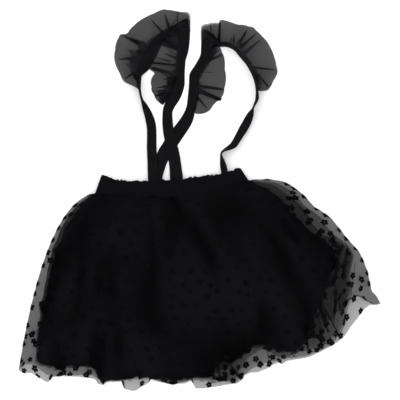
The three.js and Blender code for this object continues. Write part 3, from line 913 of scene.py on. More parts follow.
# Narrow folds of the net, which show most where nothing opaque lies under it.
FRONT_PLEATS = pleats([
    (26, -247, 34, -278, 5.0, 0.8, 3.2, 0.9),
    (39, -238, 61, -268, 5.4, 0.7, 3.2, 0.9),
    (47, -246, 58, -266, 3.6, 0.8, 2.8, 0.9),
    (66, -236, 65, -256, 2.6, 0.5, 2.2, 0.9),
    (-4, -256, -8, -270, 2.4, 0.5, 2.2, 0.9),
    (132, -222, 146, -240, 5.0, 0.6, 3.2, 0.9),
    (219, -150, 236, -142, 2.8, 0.9, 2.2, 0.7),
    (235, -142, 250, -150, 2.8, 0.9, 2.2, 0.7),
    (249, -150, 264, -157, 2.8, 0.7, 2.2, 0.7),
    (164, -232, 156, -190, 7.0, 0.5, 3.2, 0.9),
    (104, -244, 100, -214, 3.4, 0.5, 3.0, 0.9),
    (92, -246, 82, -226, 2.0, 0.5, 2.4, 0.9),
    (20, -270, 16, -246, 2.0, 0.5, 2.4, 0.9),
    (-28, -273, -34, -250, 2.0, 0.5, 2.4, 0.9),
    (199, -86, 228, -88, 1.4, 0.5, 2.2, 0.7),
    (232, -94, 226, -140, 1.6, 0.6, 2.2, 0.7),
    (176, -148, 192, -200, 9.0, 0.5, 3.4, 0.9),
    (184, -160, 210, -204, 6.0, 0.4, 3.2, 0.9),
    (204, -136, 199, -186, 7.0, 0.5, 3.2, 0.9),
    (128, -228, 138, -240, 2.0, 0.6, 2.4, 0.9),
    (-268, -232, -246, -218, 1.2, 0.5, 2.2, 0.6),
    (-92, -262, -88, -272, 1.6, 0.7, 2.2, 0.7),
])
BACK_PLEATS = pleats([
    (195, -190, 218, -201, 1.8, 0.6, 2.4, 0.5),
    (214, -130, 250, -146, 1.4, 0.6, 2.4, 0.5),
    (98, -250, 88, -236, 1.6, 0.5, 2.4, 0.5),
    (-232, -262, -224, -246, 1.4, 0.5, 2.2, 0.5),
    (-60, -268, -64, -250, 1.4, 0.6, 2.2, 0.5),
    (-268, -250, -252, -238, 1.2, 0.5, 2.2, 0.4),
])
# The petticoat's folds, from its edge inwards.
PETTICOAT_PLEATS = pleats([
    (194, -196, 168, -128, 9.0, 0.6, 3.6, 0.5),
    (210, -164, 196, -96, 5.0, 0.6, 3.0, 0.5),
    (174, -218, 150, -150, 8.0, 0.5, 3.4, 0.5),
    (196, -128, 214, -66, 9.0, 0.8, 3.6, 0.5),
    (226, -128, 192, -86, 2.6, 0.3, 2.4, 0.5),
    (146, -228, 136, -176, 3.0, 0.3, 2.6, 0.5),
    (222, -104, 198, -72, 2.2, 0.3, 2.2, 0.5),
    (186, -206, 176, -168, 2.4, 0.4, 2.2, 0.5),
    (207, -182, 200, -146, 2.6, 0.4, 2.2, 0.5),
    (184, -208, 176, -172, 7.0, 0.5, 3.0, 0.5),
    (214, -150, 206, -112, 3.0, 0.3, 2.6, 0.5),
    (192, -196, 182, -150, 3.0, 0.3, 2.4, 0.5),
    (158, -222, 150, -190, 3.0, 0.4, 2.4, 0.5),
    (-254, -236, -238, -170, 2.0, 0.3, 2.4, 0.5),
    (-196, -256, -186, -214, 2.4, 0.3, 2.4, 0.5),
    (204, -118, 206, -70, 8.0, 0.8, 3.6, 0.5),
    (215, -110, 222, -70, 8.0, 0.8, 3.6, 0.5),
    (186, -150, 190, -110, 5.0, 0.4, 3.2, 0.5),
])


class Heights:
    """Heights of a carried-over solid's upper face, smoothed over its steps."""

    ROWS = 34
    COLUMNS = 64
    CLEAR = 0.01  # how far above the solid, in metres, its faces are looked for

    def __init__(self, node: str) -> None:
        """Reads the solid.

        Args:
            node: the solid.
        """
        graph = bpy.context.evaluated_depsgraph_get()
        self.tree = BVHTree.FromObject(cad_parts[node], graph)
        self.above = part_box(node)[1].z + self.CLEAR

    def sample(self, plan: np.ndarray) -> np.ndarray:
        """Reads the heights on a coarse grid, and eases between its points.

        Args:
            plan: a grid of places.

        Returns:
            The height in mm at each.
        """
        rows, columns = plan.shape[:2]
        pick_r = np.linspace(0, rows - 1, self.ROWS).round().astype(int)
        pick_c = np.linspace(0, columns - 1, self.COLUMNS).round().astype(int)
        coarse = np.full((len(pick_r), len(pick_c)), np.nan)
        for i, row in enumerate(pick_r):
            for j, column in enumerate(pick_c):
                x, y = plan[row, column] * MM
                hit = self.tree.ray_cast(Vector((x, y, self.above)), Vector((0, 0, -1)))[0]
                if hit is not None:
                    coarse[i, j] = hit.z / MM
        coarse = self.filled(coarse)
        coarse = softened(softened(coarse, 1.0, 0), 1.0, 1)
        wide = np.stack([np.interp(np.arange(columns), pick_c, line) for line in coarse])
        full = np.stack([np.interp(np.arange(rows), pick_r, line) for line in wide.T], axis=1)
        return softened(softened(full, rows / 60, 0), columns / 100, 1)

    @staticmethod
    def filled(values: np.ndarray) -> np.ndarray:
        """Fills the gaps of a grid from its rows, and then from its columns.

        Args:
            values: the grid, with nan in its gaps.

        Returns:
            The filled grid.
        """
        out = values.copy()
        for lines in (out, out.T):
            for line in lines:
                known = np.flatnonzero(~np.isnan(line))
                if len(known):
                    line[:] = np.interp(np.arange(len(line)), known, line[known])
        return out


def patch(outline: Outline, rows: int, columns: int, tuck: float) -> np.ndarray:
    """Places of a panel's points, spread between its four edges.

    Args:
        outline: the panel's edges.
        rows: rows from seam to hem.
        columns: columns from side to side.
        tuck: how far the panel runs up into the casing.

    Returns:
        rows x columns places.
    """
    usual_step = 12.0  # rough distance between two places of a hem
    near_end = 20.0
    top = along(BAND_SEAM, np.linspace(0.0, 1.0, columns))
    top[:, 1] += tuck
    hem = paced(outline.hem, columns, 0.9)
    calm = softened(hem, columns * 0.05)
    way = np.linspace(0.0, 1.0, columns) * len(outline.hem) * usual_step
    fray = Unevenness(47, 5.0)(way) + 0.7 * Unevenness(48, 2.6)(way)
    hem[:, 1] += outline.frayed * fray * ease(np.minimum(way, way[-1] - way) / near_end)
    left = paced(bend(tuple(top[0]), outline.left, outline.hem[0]), rows)
    right = paced([tuple(top[-1]), *outline.right[::-1], outline.hem[-1]], rows, 1.6)
    inward = ease(np.linspace(0.0, 1.0, rows) * 5.0) * ease(np.linspace(1.0, 0.0, rows) * 8.0)
    for side, seed in ((left, 41), (right, 43)):
        wave = Unevenness(seed, 17.0)(side[:, 1], side[:, 0]) + 0.5 * Unevenness(seed + 1, 7.0)(side[:, 1])
        side[:, 0] += outline.ragged * inward * wave
    u = np.linspace(0.0, 1.0, columns)[None, :, None]
    v = np.linspace(0.0, 1.0, rows)[:, None, None]
    plan = (1.0 - v) * top[None] + v * calm[None]
    plan = plan + (1.0 - u) * (left[:, None] - plan[:, :1]) + u * (right[:, None] - plan[:, -1:])
    fades_up = 11  # how fast the hem's small points die away up the panel
    return plan + v ** fades_up * (hem - calm)[None]


def edge_distance(plan: np.ndarray, outline: np.ndarray) -> np.ndarray:
    """Measures how far each place is from a line.

    Args:
        plan: a grid of places.
        outline: the line's corners.

    Returns:
        The distance in mm of each.
    """
    out = np.full(plan.shape[:2], 1e9)
    for a, b in zip(outline[:-1], outline[1:]):
        run = b - a
        length = max(float(run @ run), 1e-9)
        rel = plan - a
        t = np.clip((rel @ run) / length, 0.0, 1.0)
        gap = rel - t[..., None] * run
        out = np.minimum(out, np.sqrt((gap ** 2).sum(-1)))
    return out


@dataclass
class Panel:
    """One cut piece of the skirt, with columns from side to side and rows from seam to hem.

    over is the height that a front panel settles to at the garment's edge, detail is how much of the
    gathers it shows, and closed makes it a shell in place of one surface.
    """

    node: str
    outline: Outline
    slot: Slot
    finish: Net | Weave
    flat: tuple[float, float]
    columns: int
    rows: int
    front: bool
    detail: float
    seed: int
    rests_on: list[str]
    over: float = 0.0
    closed: bool = False
    wall: float = 1.0  # thickness of the solids' walls
    sink: float = 0.25  # how far a back panel lies below the middle of its solid
    shell: float = 0.35  # thickness of a closed panel
    tuck: float = 1.2  # how far a panel runs up into the casing
    seam_run: float = 240.0
    gather_pitch: float = 4.2  # at the seam
    fold_pitch: float = 10.0  # below it
    flute_pitch: float = 21.0  # towards the hem
    back_rise: float = 0.85  # the most that a back panel's gathers rise
    front_rise: float = 9.0
    settling: float = 34.0  # how far in from the garment's edge a front panel lies lower
    turn: float = 5.0  # width over which its sides turn down
    points: np.ndarray = field(default=None, repr=False)
    places: np.ndarray = field(default=None, repr=False)

    def shape(self, rim: np.ndarray) -> None:
        """Works out the panel's points.

        Args:
            rim: the garment's outer line below the seam, towards which every layer settles.
        """
        plan = patch(self.outline, self.rows, self.columns, self.tuck)
        x, y = plan[..., 0], plan[..., 1]
        u = np.linspace(0.0, 1.0, self.columns)[None, :]
        v = np.linspace(0.0, 1.0, self.rows)[:, None]
        z = self.stack(plan) + self.folds(x, y, u, v)
        if self.front:
            z = self.settled(z, plan, edge_distance(plan, rim), v)
        points = np.dstack([plan, z])
        base = points.copy()
        for pleat in self.pleats():
            pleat.move(points, base)
        points[..., 2] = np.maximum(points[..., 2], FLOOR_CLEARANCE)
        self.points = points
        width, length = self.flat
        across = np.broadcast_to(u, x.shape) * width / MM
        down = np.broadcast_to(v, x.shape) * length / MM
        self.places = np.dstack([across, down])

    def stack(self, plan: np.ndarray) -> np.ndarray:
        """Reads how high the solid's wall lies.

        Args:
            plan: a grid of places.

        Returns:
            The height of its middle at each.
        """
        if self.front:
            return Heights(self.node).sample(plan) - self.wall / 2
        low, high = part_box(self.node)
        return np.full(plan.shape[:2], (low.z + high.z) / 2 / MM) - self.sink

    def folds(self, x: np.ndarray, y: np.ndarray, u: np.ndarray, v: np.ndarray) -> np.ndarray:
        """Gathers and soft wrinkles that stand on the solid's form, never below it.

        Args:
            x: how far right each place is.
            y: how far up it is.
            u: its share across the panel.
            v: its share down the panel.

        Returns:
            How far the cloth rises at each.
        """
        run, span = u * self.seam_run, self.seam_run
        wander = 5.0 * Unevenness(self.seed + 1, 60.0)(x, y) * ease(v / 0.4)
        # Close gathers at the seam, folds that come out of them, flutes towards the hem, and wrinkles.
        near = Ridges(7, span, self.gather_pitch)(run + 0.3 * wander) * np.exp(-(v / 0.09) ** 1.3)
        middle = Ridges(8, span, self.fold_pitch)(run + wander) * ease(v / 0.06) * np.exp(-(v / 0.42) ** 2)
        far = Ridges(9, span, self.flute_pitch)(run + 1.6 * wander) * ease(v / 0.25)
        crumple = Unevenness(self.seed + 2, 17.0)(x, y) * 0.5 + Unevenness(self.seed + 3, 8.0)(x, y) * 0.22
        if not self.front:
            height = 0.5 * near + 0.5 * middle + 0.45 * far + 0.3 * crumple
            return np.clip(self.detail * height, 0.0, self.back_rise)
        hem = (0.5 + 0.5 * np.sin(Unevenness(self.seed + 4, 55.0)(x, y) * 7.0)) * ease((v - 0.75) / 0.25)
        height = 1.7 * near + 2.0 * middle + 2.2 * far + 0.9 * crumple + 1.4 * hem
        height = height + 2.4 * ease(v / 0.2)
        for fold in FRONT_FOLDS:
            height = height - fold(x, y)
        rise = self.detail * np.maximum(height, 0.25 * np.exp(np.minimum(height, 0.0)))
        # The layers under the overlay rise far less, so that they stay apart.
        most = self.front_rise if self.detail == 1.0 else 0.9 + 0.3 * rise
        return np.minimum(rise, most)

    def settled(self, z: np.ndarray, plan: np.ndarray, out: np.ndarray, v: np.ndarray) -> np.ndarray:
        """Lowers a front panel towards its back one at the sides and near the garment's edge.

        Args:
            z: the heights before.
            plan: the panel's places.
            out: their distance from the garment's edge.
            v: their share down the panel.

        Returns:
            The heights after.
        """
        foot = self.over
        near_rim = 0.3 + 0.7 * ease((out - 2.0) / self.settling)
        below_band = 1.0 - ease((v - 0.02) / 0.1)
        z = foot + (z - foot) * np.maximum(near_rim, below_band)
        from_left = np.linalg.norm(plan - plan[:, :1], axis=-1)
        from_right = np.linalg.norm(plan - plan[:, -1:], axis=-1)
        side = np.clip(np.minimum(from_left, from_right) / self.turn, 0.0, 1.0)
        roll = np.sqrt(np.clip(1.0 - (1.0 - side) ** 2, 0.0, 1.0))
        return foot + (z - foot) * roll

    def pleats(self) -> list[Pleat]:
        """Picks the narrow folds of this panel.

        Returns:
            The folds.
        """
        if self.slot is Slot.LINING:
            return []
        if self.slot is Slot.PLAIN:
            return PETTICOAT_PLEATS if self.front else PETTICOAT_PLEATS[::2]
        return FRONT_PLEATS if self.front else BACK_PLEATS

    def build(self) -> bpy.types.Object:
        """Makes the mesh and puts it in its place.

        Returns:
            The object.
        """
        name, material = self.node + "_cloth", self.finish.material()
        if self.closed:
            made = shell_mesh(name, self.points, self.shell, material, self.places)
        else:
            made = sheet_mesh(name, self.points, material, self.places)
        return place_piece(made, self.node)

    def at(self, u: np.ndarray, v: np.ndarray) -> tuple[np.ndarray, np.ndarray]:
        """Finds the cloth at places between its points.

        Args:
            u: their shares across the panel.
            v: their shares down it.

        Returns:
            The points and the normals there.
        """
        c = np.clip(u, 0.0, 1.0) * (self.columns - 1)
        r = np.clip(v, 0.0, 1.0) * (self.rows - 1)
        ic, ir = np.minimum(c.astype(int), self.columns - 2), np.minimum(r.astype(int), self.rows - 2)
        tc, tr = (c - ic)[..., None], (r - ir)[..., None]
        normals = surface_normals(self.points)

        def blend(grid: np.ndarray) -> np.ndarray:
            """Blends the four values round each place.

            Args:
                grid: a value for each of the panel's points.

            Returns:
                The value at each place.
            """
            low = grid[ir, ic] * (1 - tc) + grid[ir, ic + 1] * tc
            high = grid[ir + 1, ic] * (1 - tc) + grid[ir + 1, ic + 1] * tc
            return low * (1 - tr) + high * tr

        return blend(self.points), blend(normals)


@dataclass
class Flowers:
    """Small flocked flowers in an ordinary repeat over one panel of the overlay.

    pitch is how far apart they lie, with jitter as a share of it, across is how wide they are, and
    vary how much that varies. side_pitch is how far apart the ones lie that wrap round the garment's
    sides, which both panels share, and hem_pitch and hem_share say how far apart and how far down
    the hem's lie. least is how near two may come, and bare_from the x beyond which there are none.
    bunches are the places where the net is drawn together and its flowers come closer, as near as
    bunched: x, y, reach, count.
    """

    pitch: float = 22.5
    row_step: float = 0.86  # distance between two rows, as a share of pitch
    jitter: float = 0.26
    across: float = 10.0
    vary: float = 0.16
    height: float = 0.35
    above: float = 0.06
    turns: int = 20
    side_pitch: float = 23.0
    hem_pitch: float = 57.5
    hem_share: float = 0.988
    row_start: float = 9.0
    first_row: int = 4
    found_within: float = 2.0  # how near the cloth must lie to a spot that is picked
    least: float = 11.0
    bare_from: float = 259.0
    wrap_seed: int = 77
    bunched: float = 7.5
    drawn_out: float = 1.5  # length of a bunch, up the panel, for its width
    bunches: tuple[tuple[float, float, float, int], ...] = (
        (194, -148, 30, 9), (170, -212, 20, 5), (52, -257, 16, 3), (-88, -270, 9, 2), (-253, -214, 12, 2),
        (142, -8, 24, 7), (196, -66, 16, 3),
    )

    def form(self) -> tuple[np.ndarray, np.ndarray]:
        """Shapes one flower: five petals round a small open ring.

        Returns:
            Its points, as share of its radius, angle and share of its height, and its faces.
        """
        angle = np.linspace(0.0, 2.0 * np.pi, self.turns, endpoint=False)
        petal = 0.62 + 0.38 * np.abs(np.cos(2.5 * angle)) ** 0.7
        hole = [(0.12, 0.0), (0.15, 0.8)]
        petals = [(0.55, 1.0), (0.92, 0.7), (1.0, 0.0)]
        rings = [(np.full(self.turns, share), up) for share, up in hole]
        rings += [(share * petal, up) for share, up in petals]
        parts = [np.stack([radius, angle, np.full(self.turns, up)], axis=1) for radius, up in rings]
        count = len(rings)
        faces = grid_faces(count, self.turns, ring=True)
        ids = np.arange(count * self.turns).reshape(count, self.turns)
        close = np.stack([ids[-1], np.roll(ids[-1], -1), np.roll(ids[0], -1), ids[0]], axis=1)
        return np.concatenate(parts), np.concatenate([faces, close])

    def build(self, panel: Panel, name: str, seed: int) -> bpy.types.Object:
        """Sows the flowers on a panel and makes them one mesh.

        Args:
            panel: the panel.
            name: the object's name.
            seed: picks the draw.

        Returns:
            The object.
        """
        rng = np.random.default_rng(seed)
        form, faces = self.form()
        spots = self.spots(panel, rng)
        size = self.across / 2.0 * (1.0 + self.vary * rng.uniform(-1.0, 1.0, len(spots)))
        turn = rng.uniform(0.0, 2.0 * np.pi, len(spots))
        radius = form[None, :, 0] * size[:, None]
        angle = form[None, :, 1] + turn[:, None]
        dx, dy = radius * np.cos(angle), radius * np.sin(angle)
        u, v = spots[:, 0, None], spots[:, 1, None]
        width, length = self.scale(panel, spots)
        points, normals = panel.at(u + dx / width[:, None], v + dy / length[:, None])
        up = normals * np.sign(normals[..., 2:])
        copies = points + up * (self.above + self.height * form[None, :, 2, None])
        copies[..., 2] = np.maximum(copies[..., 2], FLOOR_CLEARANCE / 2)
        made = joined_mesh(name, faces, copies, FLOCK.material())
        return place_piece(made)

    def spots(self, panel: Panel, rng: np.random.Generator) -> np.ndarray:
        """Picks the flowers' places, and leaves out each that comes too near an earlier one.

        Args:
            panel: the panel that they lie on.
            rng: the draw.

        Returns:
            Their places as shares across and down the panel.
        """
        plan = panel.points[..., :2]
        inner = self.repeat(plan, rng) + self.drawn_together(plan, rng)
        wraps = np.random.default_rng(self.wrap_seed)
        left = [(0.0, share) for share in self.row(plan[:, 0], self.side_pitch, wraps)]
        right = [(1.0, share) for share in self.row(plan[:, -1], self.side_pitch, wraps)]
        hem = [(share, self.hem_share) for share in self.row(plan[-1], self.hem_pitch, rng)]
        outer = [(*place, self.least) for place in (left + right + hem)[::-1]]
        shares = np.array(outer + inner)
        places = panel.at(shares[:, 0], shares[:, 1])[0][:, :2]
        kept: list[int] = []
        for i, place in enumerate(places):
            clear = not kept or np.linalg.norm(places[kept] - place, axis=1).min() > shares[i, 2]
            if clear and place[0] < self.bare_from:
                kept.append(i)
        return shares[kept, :2]

    def repeat(self, plan: np.ndarray, rng: np.random.Generator) -> list[tuple[float, float, float]]:
        """The even repeat over the whole panel, every second row set off by half a pitch.

        Args:
            plan: the panel's places.
            rng: the draw.

        Returns:
            Shares across and down, and how near another flower may come, of each.
        """
        low, high = plan.reshape(-1, 2).min(0), plan.reshape(-1, 2).max(0)
        found = []
        for i, y in enumerate(np.arange(low[1], high[1] + self.pitch, self.pitch * self.row_step)):
            for x in np.arange(low[0], high[0] + self.pitch, self.pitch):
                shift = rng.uniform(-1.0, 1.0, 2) * self.jitter * self.pitch
                spot = np.array([x + (i % 2) * self.pitch / 2.0, y]) + shift
                found += self.on_cloth(plan, spot, self.least)
        return found

    def drawn_together(self, plan: np.ndarray, rng: np.random.Generator) -> list[tuple[float, float, float]]:
        """The flowers of the bunches.

        Args:
            plan: the panel's places.
            rng: the draw.

        Returns:
            Shares across and down, and how near another flower may come, of each.
        """
        found = []
        for x, y, reach, count in self.bunches:
            for _ in range(count):
                way, out = rng.uniform(0.0, 2.0 * np.pi), reach * rng.uniform() ** 0.5
                spot = np.array([x + out * np.cos(way), y + self.drawn_out * out * np.sin(way)])
                found += self.on_cloth(plan, spot, self.bunched)
        return found

    def on_cloth(self, plan: np.ndarray, spot: np.ndarray, least: float) -> list[tuple[float, float, float]]:
        """Finds the cloth's place nearest a spot.

        Args:
            plan: the panel's places.
            spot: the spot.
            least: how near another flower may come.

        Returns:
            Shares across and down, and least, or nothing where no cloth lies near enough.
        """
        rows, columns = plan.shape[:2]
        gap = ((plan.reshape(-1, 2) - spot) ** 2).sum(1)
        near = int(gap.argmin())
        row, column = divmod(near, columns)
        if gap[near] < self.found_within ** 2 and row >= self.first_row:
            return [(column / (columns - 1), row / (rows - 1), least)]
        return []

    def row(self, line: np.ndarray, pitch: float, draw: np.random.Generator) -> list[float]:
        """Unevenly spaced places along a line.

        Args:
            line: its points.
            pitch: usual distance between two places.
            draw: the draw.

        Returns:
            Their shares along it.
        """
        run = run_along(line)
        at, found = self.row_start, []
        while at < run[-1] - self.row_start:
            found.append(float(np.interp(at, run, np.linspace(0.0, 1.0, len(run)))))
            at += pitch * draw.uniform(0.6, 1.4)
        return found

    def scale(self, panel: Panel, spots: np.ndarray) -> tuple[np.ndarray, np.ndarray]:
        """Works out how far a share across or down reaches near each flower.

        Args:
            panel: the panel.
            spots: the flowers' places as shares.

        Returns:
            The length in mm that the whole panel would have across, and down, at the rate there.
        """
        across = np.linalg.norm(np.gradient(panel.points, axis=1), axis=-1) * (panel.columns - 1)
        down = np.linalg.norm(np.gradient(panel.points, axis=0), axis=-1) * (panel.rows - 1)
        across, down = softened(across, 6, 1), softened(down, 4, 0)
        column = (spots[:, 0] * (panel.columns - 1)).round().astype(int)
        row = (spots[:, 1] * (panel.rows - 1)).round().astype(int)
        least = 60.0
        return np.maximum(across[row, column], least), np.maximum(down[row, column], least)


@dataclass
class Skirt:
    """The six panels with their flowers. The cuts are in metres, across and down."""

    overlay_cut: tuple[float, float] = (0.6, 0.285)
    petticoat_cut: tuple[float, float] = (0.52, 0.27)
    lining_cut: tuple[float, float] = (0.44, 0.27)

    def panels(self) -> list[Panel]:
        """Lists the panels from the surface up.

        Returns:
            The panels, not yet shaped.
        """
        return [
            Panel(
                "overlay_back", OVERLAY_BACK, Slot.SPOTTED, SPOTTED_NET, self.overlay_cut, columns=320,
                rows=140, front=False, detail=0.9, seed=100, rests_on=[],
            ),
            Panel(
                "petticoat_back", PETTICOAT_BACK, Slot.PLAIN, PLAIN_NET, self.petticoat_cut, columns=200,
                rows=90, front=False, detail=0.9, seed=200, rests_on=["overlay_back"],
            ),
            Panel(
                "lining_back", LINING, Slot.LINING, LINING_CLOTH, self.lining_cut, columns=150, rows=80,
                front=False, detail=0.8, seed=300, rests_on=["petticoat_back"], closed=True,
            ),
            Panel(
                "lining_front", LINING, Slot.LINING, LINING_CLOTH, self.lining_cut, columns=170, rows=90,
                front=True, over=3.3, detail=0.4, seed=300, rests_on=["lining_back"], closed=True,
            ),
            Panel(
                "petticoat_front", PETTICOAT_FRONT, Slot.PLAIN, PLAIN_NET, self.petticoat_cut, columns=240,
                rows=110, front=True, over=2.2, detail=0.6, seed=500, rests_on=["lining_front"],
            ),
            Panel(
                "overlay_front", OVERLAY_FRONT, Slot.SPOTTED, SPOTTED_NET, self.overlay_cut, columns=410,
                rows=180, front=True, over=1.0, detail=1.0, seed=600, rests_on=["petticoat_front"],
            ),
        ]

    def build(self) -> None:
        """Builds every panel, with the flowers of the spotted ones."""
        rim = np.concatenate([
            paced(bend(BAND_SEAM[0], OVERLAY_BACK.left, OVERLAY_BACK.hem[0]), 40),
            np.array(OVERLAY_BACK.hem, dtype=float),
            np.array([*OVERLAY_BACK.right, BAND_SEAM[-1]], dtype=float),
        ])
        for panel in self.panels():
            panel.shape(rim)
            made = panel.build()
            if panel.slot is Slot.SPOTTED:
                Flowers().build(panel, panel.node + "_flowers", panel.seed + 40)


# ---------------------------------------------------------------------------------------------
# The waistband
# ---------------------------------------------------------------------------------------------


@dataclass
class Waistband:
    """The elastic casing: two ruched halves with a small frill along the top edge.

    ruche is how high the ridges stand and ruche_pitch how far apart they lie. seam_at is where the
    stitch line under the frill runs, as a share of the height, and pinch how far it draws the casing
    together, as a share of the thickness.
    """

    columns: int = 330
    around: int = 44
    thick: float = 3.0
    height: float = 25.0
    ruche_pitch: float = 4.6
    ruche: float = 0.55
    seam_at: float = 0.84
    pinch: float = 0.62
    stitch_count: int = 92
    margin: float = 0.015
    cut: tuple[float, float] = (0.25, 0.03)

    def ring(self) -> np.ndarray:
        """Shapes the casing's section, a flat oval.

        Returns:
            Shares of the height and of the thickness round it.
        """
        angle = np.linspace(0.0, 2.0 * np.pi, self.around, endpoint=False)
        c, s = np.cos(angle), np.sin(angle)
        flat = np.abs(c) ** 0.25 * np.sign(c)
        return np.stack([0.5 + 0.5 * flat, 0.5 * np.abs(s) ** 0.6 * np.sign(s)], axis=1)

    def half(self, node: str, seed: int, upper: bool) -> bpy.types.Object:
        """Builds one half on its solid.

        Args:
            node: the solid.
            seed: picks the draw of its ridges.
            upper: whether it lies on the other half.

        Returns:
            The object.
        """
        share = np.linspace(0.0, 1.0, self.columns)
        top, seam = paced(BAND_TOP, len(share), 1.0), along(BAND_SEAM, share)
        ring, run = self.ring(), run_along(seam)
        up, deep = ring[None, :, 0], ring[None, :, 1]
        at = run[:, None] + 0.0 * up
        x = seam[:, None, 0] + (top - seam)[:, None, 0] * up
        y = seam[:, None, 1] + (top - seam)[:, None, 1] * up
        drift = Unevenness(seed + 1, 14.0)(at, 30.0 * up)
        ridge = Ridges(seed, run[-1], self.ruche_pitch, 0.5)(at + 1.3 * drift) - 0.4
        ridge = ridge + 0.35 * Unevenness(seed + 2, 3.0)(at, self.height * up)
        pinched = 1.0 - self.pinch * np.exp(-((up - self.seam_at) / 0.035) ** 2)
        ends = np.sqrt(np.clip(np.minimum(share, 1.0 - share)[:, None] * self.columns / 5.0, 0.12, 1.0))
        z = self.middle(node, ring[:, 0], upper) + self.thick * deep * pinched * ends
        z = z + np.sign(deep) * self.ruche * ridge * ends
        frill = 1.9 * Unevenness(seed + 3, 3.0)(at) + 1.1 * Unevenness(seed + 4, 9.0)(at)
        y = y + frill * ease((up - 0.8) / 0.2)
        rings = np.dstack([x, y, np.maximum(z, FLOOR_CLEARANCE)])
        places = np.dstack([at, self.height * up + 0.0 * at])
        made = tube_mesh(node + "_cloth", rings, RUCHED_KNIT.material(), places)
        return place_piece(made, node)

    def middle(self, node: str, up: np.ndarray, upper: bool) -> np.ndarray:
        """Works out where the middle of the casing's wall lies.

        Args:
            node: the solid.
            up: shares of the casing's height.
            upper: whether this half lies on the other one, so that it rises from the seam.

        Returns:
            Its height at each share.
        """
        low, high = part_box(node)
        if not upper:
            return np.full(len(up), (low.z + high.z) / 2 / MM)
        rise = (high.z - low.z) / MM - self.thick
        return low.z / MM + self.thick / 2 + rise * ease(up / 0.5)

    def stitches(self) -> bpy.types.Object:
        """Sews the line under the frill, a short thread at a time, on the upper half.

        Returns:
            The object.
        """
        share = np.linspace(self.margin, 1.0 - self.margin, self.stitch_count)
        top, seam = paced(BAND_TOP, len(share), 1.0), along(BAND_SEAM, share)
        at = seam + (top - seam) * self.seam_at
        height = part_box("waistband_front")[1].z / MM - self.thick * 0.28
        rows = []
        for i, (x, y) in enumerate(at):
            heading = top[min(i + 1, len(top) - 1)] - top[max(i - 1, 0)]
            rows.append((x, y, height, *(heading / np.linalg.norm(heading))))
        return threads("waistband_stitches", rows, thick=0.22)

    def build(self) -> None:
        """Builds both halves and sews the line under the frill."""
        back = self.half("waistband_back", 21, upper=False)
        front = self.half("waistband_front", 31, upper=True)
        line = self.stitches()


STITCH = 1.7  # length of a stitch


def threads(name: str, rows: list[tuple[float, ...]], thick: float) -> bpy.types.Object:
    """Short rounded stitches as one mesh.

    Args:
        name: the object's name.
        rows: place and plan heading of each stitch: x, y, z, across, up.
        thick: a stitch's radius.

    Returns:
        The object.
    """
    steps, turns = 5, 6
    run = np.linspace(-0.5, 0.5, steps)
    girth = np.sqrt(np.clip(1.0 - (2.0 * run) ** 4, 0.02, 1.0))
    angle = np.linspace(0.0, 2.0 * np.pi, turns, endpoint=False)
    form = np.stack([
        np.repeat(run * STITCH, turns),
        (girth[:, None] * np.cos(angle)[None]).ravel() * thick,
        (girth[:, None] * np.sin(angle)[None]).ravel() * thick,
    ], axis=1)
    faces = grid_faces(steps, turns, ring=True)
    copies = []
    for x, y, z, hx, hy in rows:
        px = x + form[:, 0] * hx - form[:, 1] * hy
        py = y + form[:, 0] * hy + form[:, 1] * hx
        copies.append(np.stack([px, py, z + form[:, 2]], axis=1))
    made = joined_mesh(name, faces, np.array(copies), THREAD.material())
    return place_piece(made)


# ---------------------------------------------------------------------------------------------
# The straps
# ---------------------------------------------------------------------------------------------

# Heights of a tape's middle where it lies on the surface, on another tape, or between the casings.
LIE = 0.6
OVER = 2.1
UNDER_BACK = 3.9
UNDER_FRONT = 5.4
STEADY = 7.6


@dataclass(frozen=True)
class Lay:
    """How a tape lies. Rows: x, y, height of its middle, roll in degrees, width."""

    node: str
    side: Side
    rows: list[tuple[float, float, float, float, float]]


LEFT_FRONT = Lay("strap_left_front", Side.LEFT, [
    (-70, 22, UNDER_FRONT, 0, 15), (-70, 34, UNDER_FRONT, 0, 15), (-71, 58, 4.25, 2, 15),
    (-72, 80, 2.7, 4, 15), (-72, 105, 1.7, 5, 14), (-75, 122, 3.2, 18, 14), (-81, 138, 6.0, 50, 14),
    (-87, 152, STEADY, 78, 14), (-90, 168, STEADY, 78, 14), (-90, 186, STEADY, 66, 15),
    (-81.5, 202.5, 5.8, 25, 19), (-70, 225, 4.6, 14, 19), (-56, 244.5, 5.8, 48, 13),
    (-38, 251, OVER, 4, 20), (-18, 262, OVER, 0, 20),
])
LEFT_BACK = Lay("strap_left_back", Side.LEFT, [
    (-34.5, 22, UNDER_BACK, 0, 19), (-35, 34, UNDER_BACK, 0, 19), (-37.5, 58, 2.9, 0, 18.5),
    (-41.5, 78, OVER, 0, 17.5), (-47.5, 108, OVER, 0, 16), (-48.5, 130, LIE, 0, 15),
    (-45, 142, LIE, 0, 16), (-37, 155, LIE, 0, 16), (-30.5, 170, 1.6, 12, 15), (-28, 190, 3.6, 34, 14),
    (-26.5, 208, 4.4, 40, 14), (-23.5, 226, 3.4, 24, 15), (-23, 246, 1.2, 4, 17), (-23, 264, LIE, 0, 17),
])
RIGHT_FRONT = Lay("strap_right_front", Side.RIGHT, [
    (37, 32, UNDER_FRONT, 0, 10), (37, 42, UNDER_FRONT, 0, 10), (34, 57, 6.0, 52, 12),
    (32, 68, 7.2, 80, 13), (36, 74, 7.2, 74, 14), (50, 82, 6.6, 50, 15), (59, 96, 5.4, 40, 15.5),
    (69, 113, 5.2, 34, 15.5), (75.5, 127, 6.2, 46, 14), (80, 138, STEADY, 80, 14),
    (86, 152, STEADY, 70, 14), (85.5, 166, STEADY, 78, 14), (81, 184, STEADY, 80, 14),
    (71, 203, STEADY, 80, 14), (61, 215, STEADY, 80, 14), (53, 225, STEADY, 78, 14),
    (42, 231, STEADY, 74, 14), (27, 233, 7.0, 62, 14), (10, 241, OVER, 0, 18),
])
